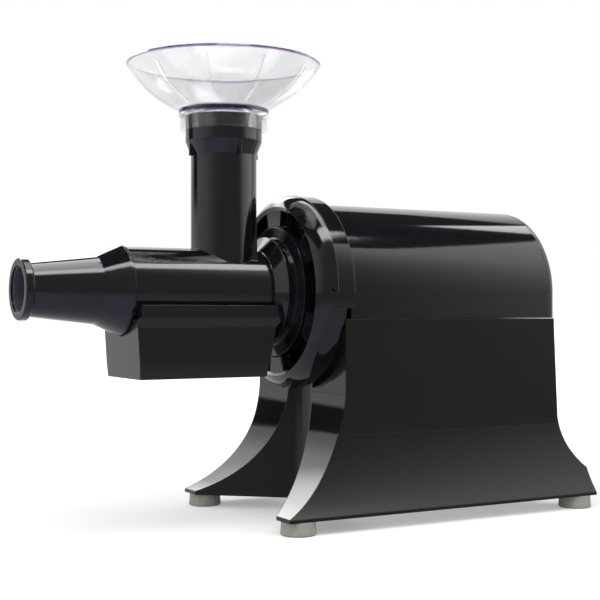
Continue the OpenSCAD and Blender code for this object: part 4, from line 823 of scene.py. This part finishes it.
def make_lamps(scene, stage):
    """Soft light from above, from the left and from the right, which gloss doesn't show."""
    target = Vector((0, 0, 0.2))
    for name, place, size, share in (
            ("overhead", (-0.2, -0.5, 2.2), 2.0, 1.4),
            ("left", (-2.2, -0.6, 1.2), 1.4, 0.9),
            ("right", (2.0, -1.6, 1.2), 1.4, 0.6)):
        data = bpy.data.lights.new(name, "AREA")
        data.shape = "SQUARE"
        data.size = size
        data.energy = stage.key_power * share
        lamp = bpy.data.objects.new(name, data)
        lamp.location = place
        lamp.rotation_mode = "QUATERNION"
        lamp.rotation_quaternion = (Vector(place) - target).to_track_quat("Z", "Y")
        lamp.visible_glossy = False
        scene.collection.objects.link(lamp)


def make_camera(scene, stage):
    """The photograph's camera."""
    data = bpy.data.cameras.new("camera")
    data.lens = stage.lens
    data.sensor_width = 36.0
    data.clip_start, data.clip_end = 0.01, 100
    camera = bpy.data.objects.new("camera", data)
    camera.location = stage.camera_place
    camera.rotation_euler = (math.pi / 2 + stage.camera_rise, 0, -stage.camera_yaw)
    scene.collection.objects.link(camera)
    scene.camera = camera


# Operators

class OBJECT_OT_juicer_base(bpy.types.Operator):
    """Base housing, cover, end cap, bottom plate and feet, with their screws"""
    bl_idname = "object.juicer_base"
    bl_label = "Base and Cover"

    def execute(self, context):
        dress("base_housing", sharp=22)
        for node in ("top_cover", "rear_end_cap", *FEET):
            dress(node)
        for seed, node in enumerate(("bottom_plate_screws", "foot_screws", "rear_cap_screws")):
            stand_screws(node, seed)
        dress("bottom_plate")
        return {"FINISHED"}


class OBJECT_OT_juicer_hub(bpy.types.Operator):
    """Hub with its screws and seal"""
    bl_idname = "object.juicer_hub"
    bl_label = "Hub"

    def execute(self, context):
        dress("hub", sharp=20)
        stand_screws("hub_screws", 7)
        dress("shaft_seal")
        return {"FINISHED"}


class OBJECT_OT_juicer_motor(bpy.types.Operator):
    """Motor, its electrical parts and the rotor inside the base"""
    bl_idname = "object.juicer_motor"
    bl_label = "Motor"

    def execute(self, context):
        paint("motor_shell", "front_end_bell", "rear_end_bell", "through_bolts", "stator_core",
              "stator_windings", "front_bearing", "rear_bearing", "motor_cradle", "cradle_screws",
              "start_capacitor", "capacitor_clamp", "start_switch", "terminal_block",
              "motor_shaft", "rotor_core", "cooling_fan", "speed_governor", "retaining_rings")
        return {"FINISHED"}


class OBJECT_OT_juicer_rear_panel(bpy.types.Operator):
    """Switch and cord gland"""
    bl_idname = "object.juicer_rear_panel"
    bl_label = "Rear Panel"

    def execute(self, context):
        for node in ("switch_bezel", "switch_rocker", "cord_gland"):
            dress(node)
        paint("switch_body")
        return {"FINISHED"}


class OBJECT_OT_juicer_body(bpy.types.Operator):
    """Juicer body, its gasket and screen, and the screen holder"""
    bl_idname = "object.juicer_body"
    bl_label = "Juicer Body"

    def execute(self, context):
        dress("juicer_barrel", finish="barrel_black")
        for node in ("screen_holder", "juice_screen"):
            dress(node)
        paint("body_gasket")
        return {"FINISHED"}


class OBJECT_OT_juicer_cutter(bpy.types.Operator):
    """Cutter with its blades"""
    bl_idname = "object.juicer_cutter"
    bl_label = "Cutter"

    def execute(self, context):
        for node in ("cutter_body", "cutter_blades"):
            dress(node)
        return {"FINISHED"}


class OBJECT_OT_juicer_funnel(bpy.types.Operator):
    """Clear feed funnel"""
    bl_idname = "object.juicer_funnel"
    bl_label = "Feed Funnel"

    def execute(self, context):
        dress("feed_funnel", sharp=28)
        return {"FINISHED"}


class SCENE_OT_juicer_stage(bpy.types.Operator):
    """Floor, light and camera"""
    bl_idname = "scene.juicer_stage"
    bl_label = "Stage"

    def execute(self, context):
        for make in (make_world, make_floor, make_lamps, make_camera):
            make(context.scene, context.scene.juicer_stage)
        context.scene.view_settings.view_transform = "Standard"
        return {"FINISHED"}


# Panel and registration

class VIEW3D_PT_juicer(bpy.types.Panel):
    """The juicer's finishes, stage and pieces"""
    bl_label = "Juicer"
    bl_space_type = "VIEW_3D"
    bl_region_type = "UI"
    bl_category = "Juicer"

    def draw(self, context):
        for group in (context.scene.juicer_finish, context.scene.juicer_stage):
            box = self.layout.box()
            for name in group.__annotations__:
                box.prop(group, name)
        for operator in OPERATORS:
            self.layout.operator(operator.bl_idname)


OPERATORS = (
    OBJECT_OT_juicer_base, OBJECT_OT_juicer_hub, OBJECT_OT_juicer_motor, OBJECT_OT_juicer_rear_panel,
    OBJECT_OT_juicer_body, OBJECT_OT_juicer_cutter, OBJECT_OT_juicer_funnel, SCENE_OT_juicer_stage,
)
CLASSES = (JuicerFinish, JuicerStage, *OPERATORS, VIEW3D_PT_juicer)


def register():
    """Adds the classes and the scene's two groups of properties."""
    for cls in CLASSES:
        bpy.utils.register_class(cls)
    bpy.types.Scene.juicer_finish = PointerProperty(type=JuicerFinish)
    bpy.types.Scene.juicer_stage = PointerProperty(type=JuicerStage)


def unregister():
    """Takes away what register adds."""
    del bpy.types.Scene.juicer_stage
    del bpy.types.Scene.juicer_finish
    for cls in reversed(CLASSES):
        bpy.utils.unregister_class(cls)


def main():
    """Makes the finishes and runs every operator."""
    register()
    make_materials(bpy.context.scene.juicer_finish)
    for operator in OPERATORS:
        group, name = operator.bl_idname.split(".")
        getattr(getattr(bpy.ops, group), name)()


if __name__ == "__main__":
    main()
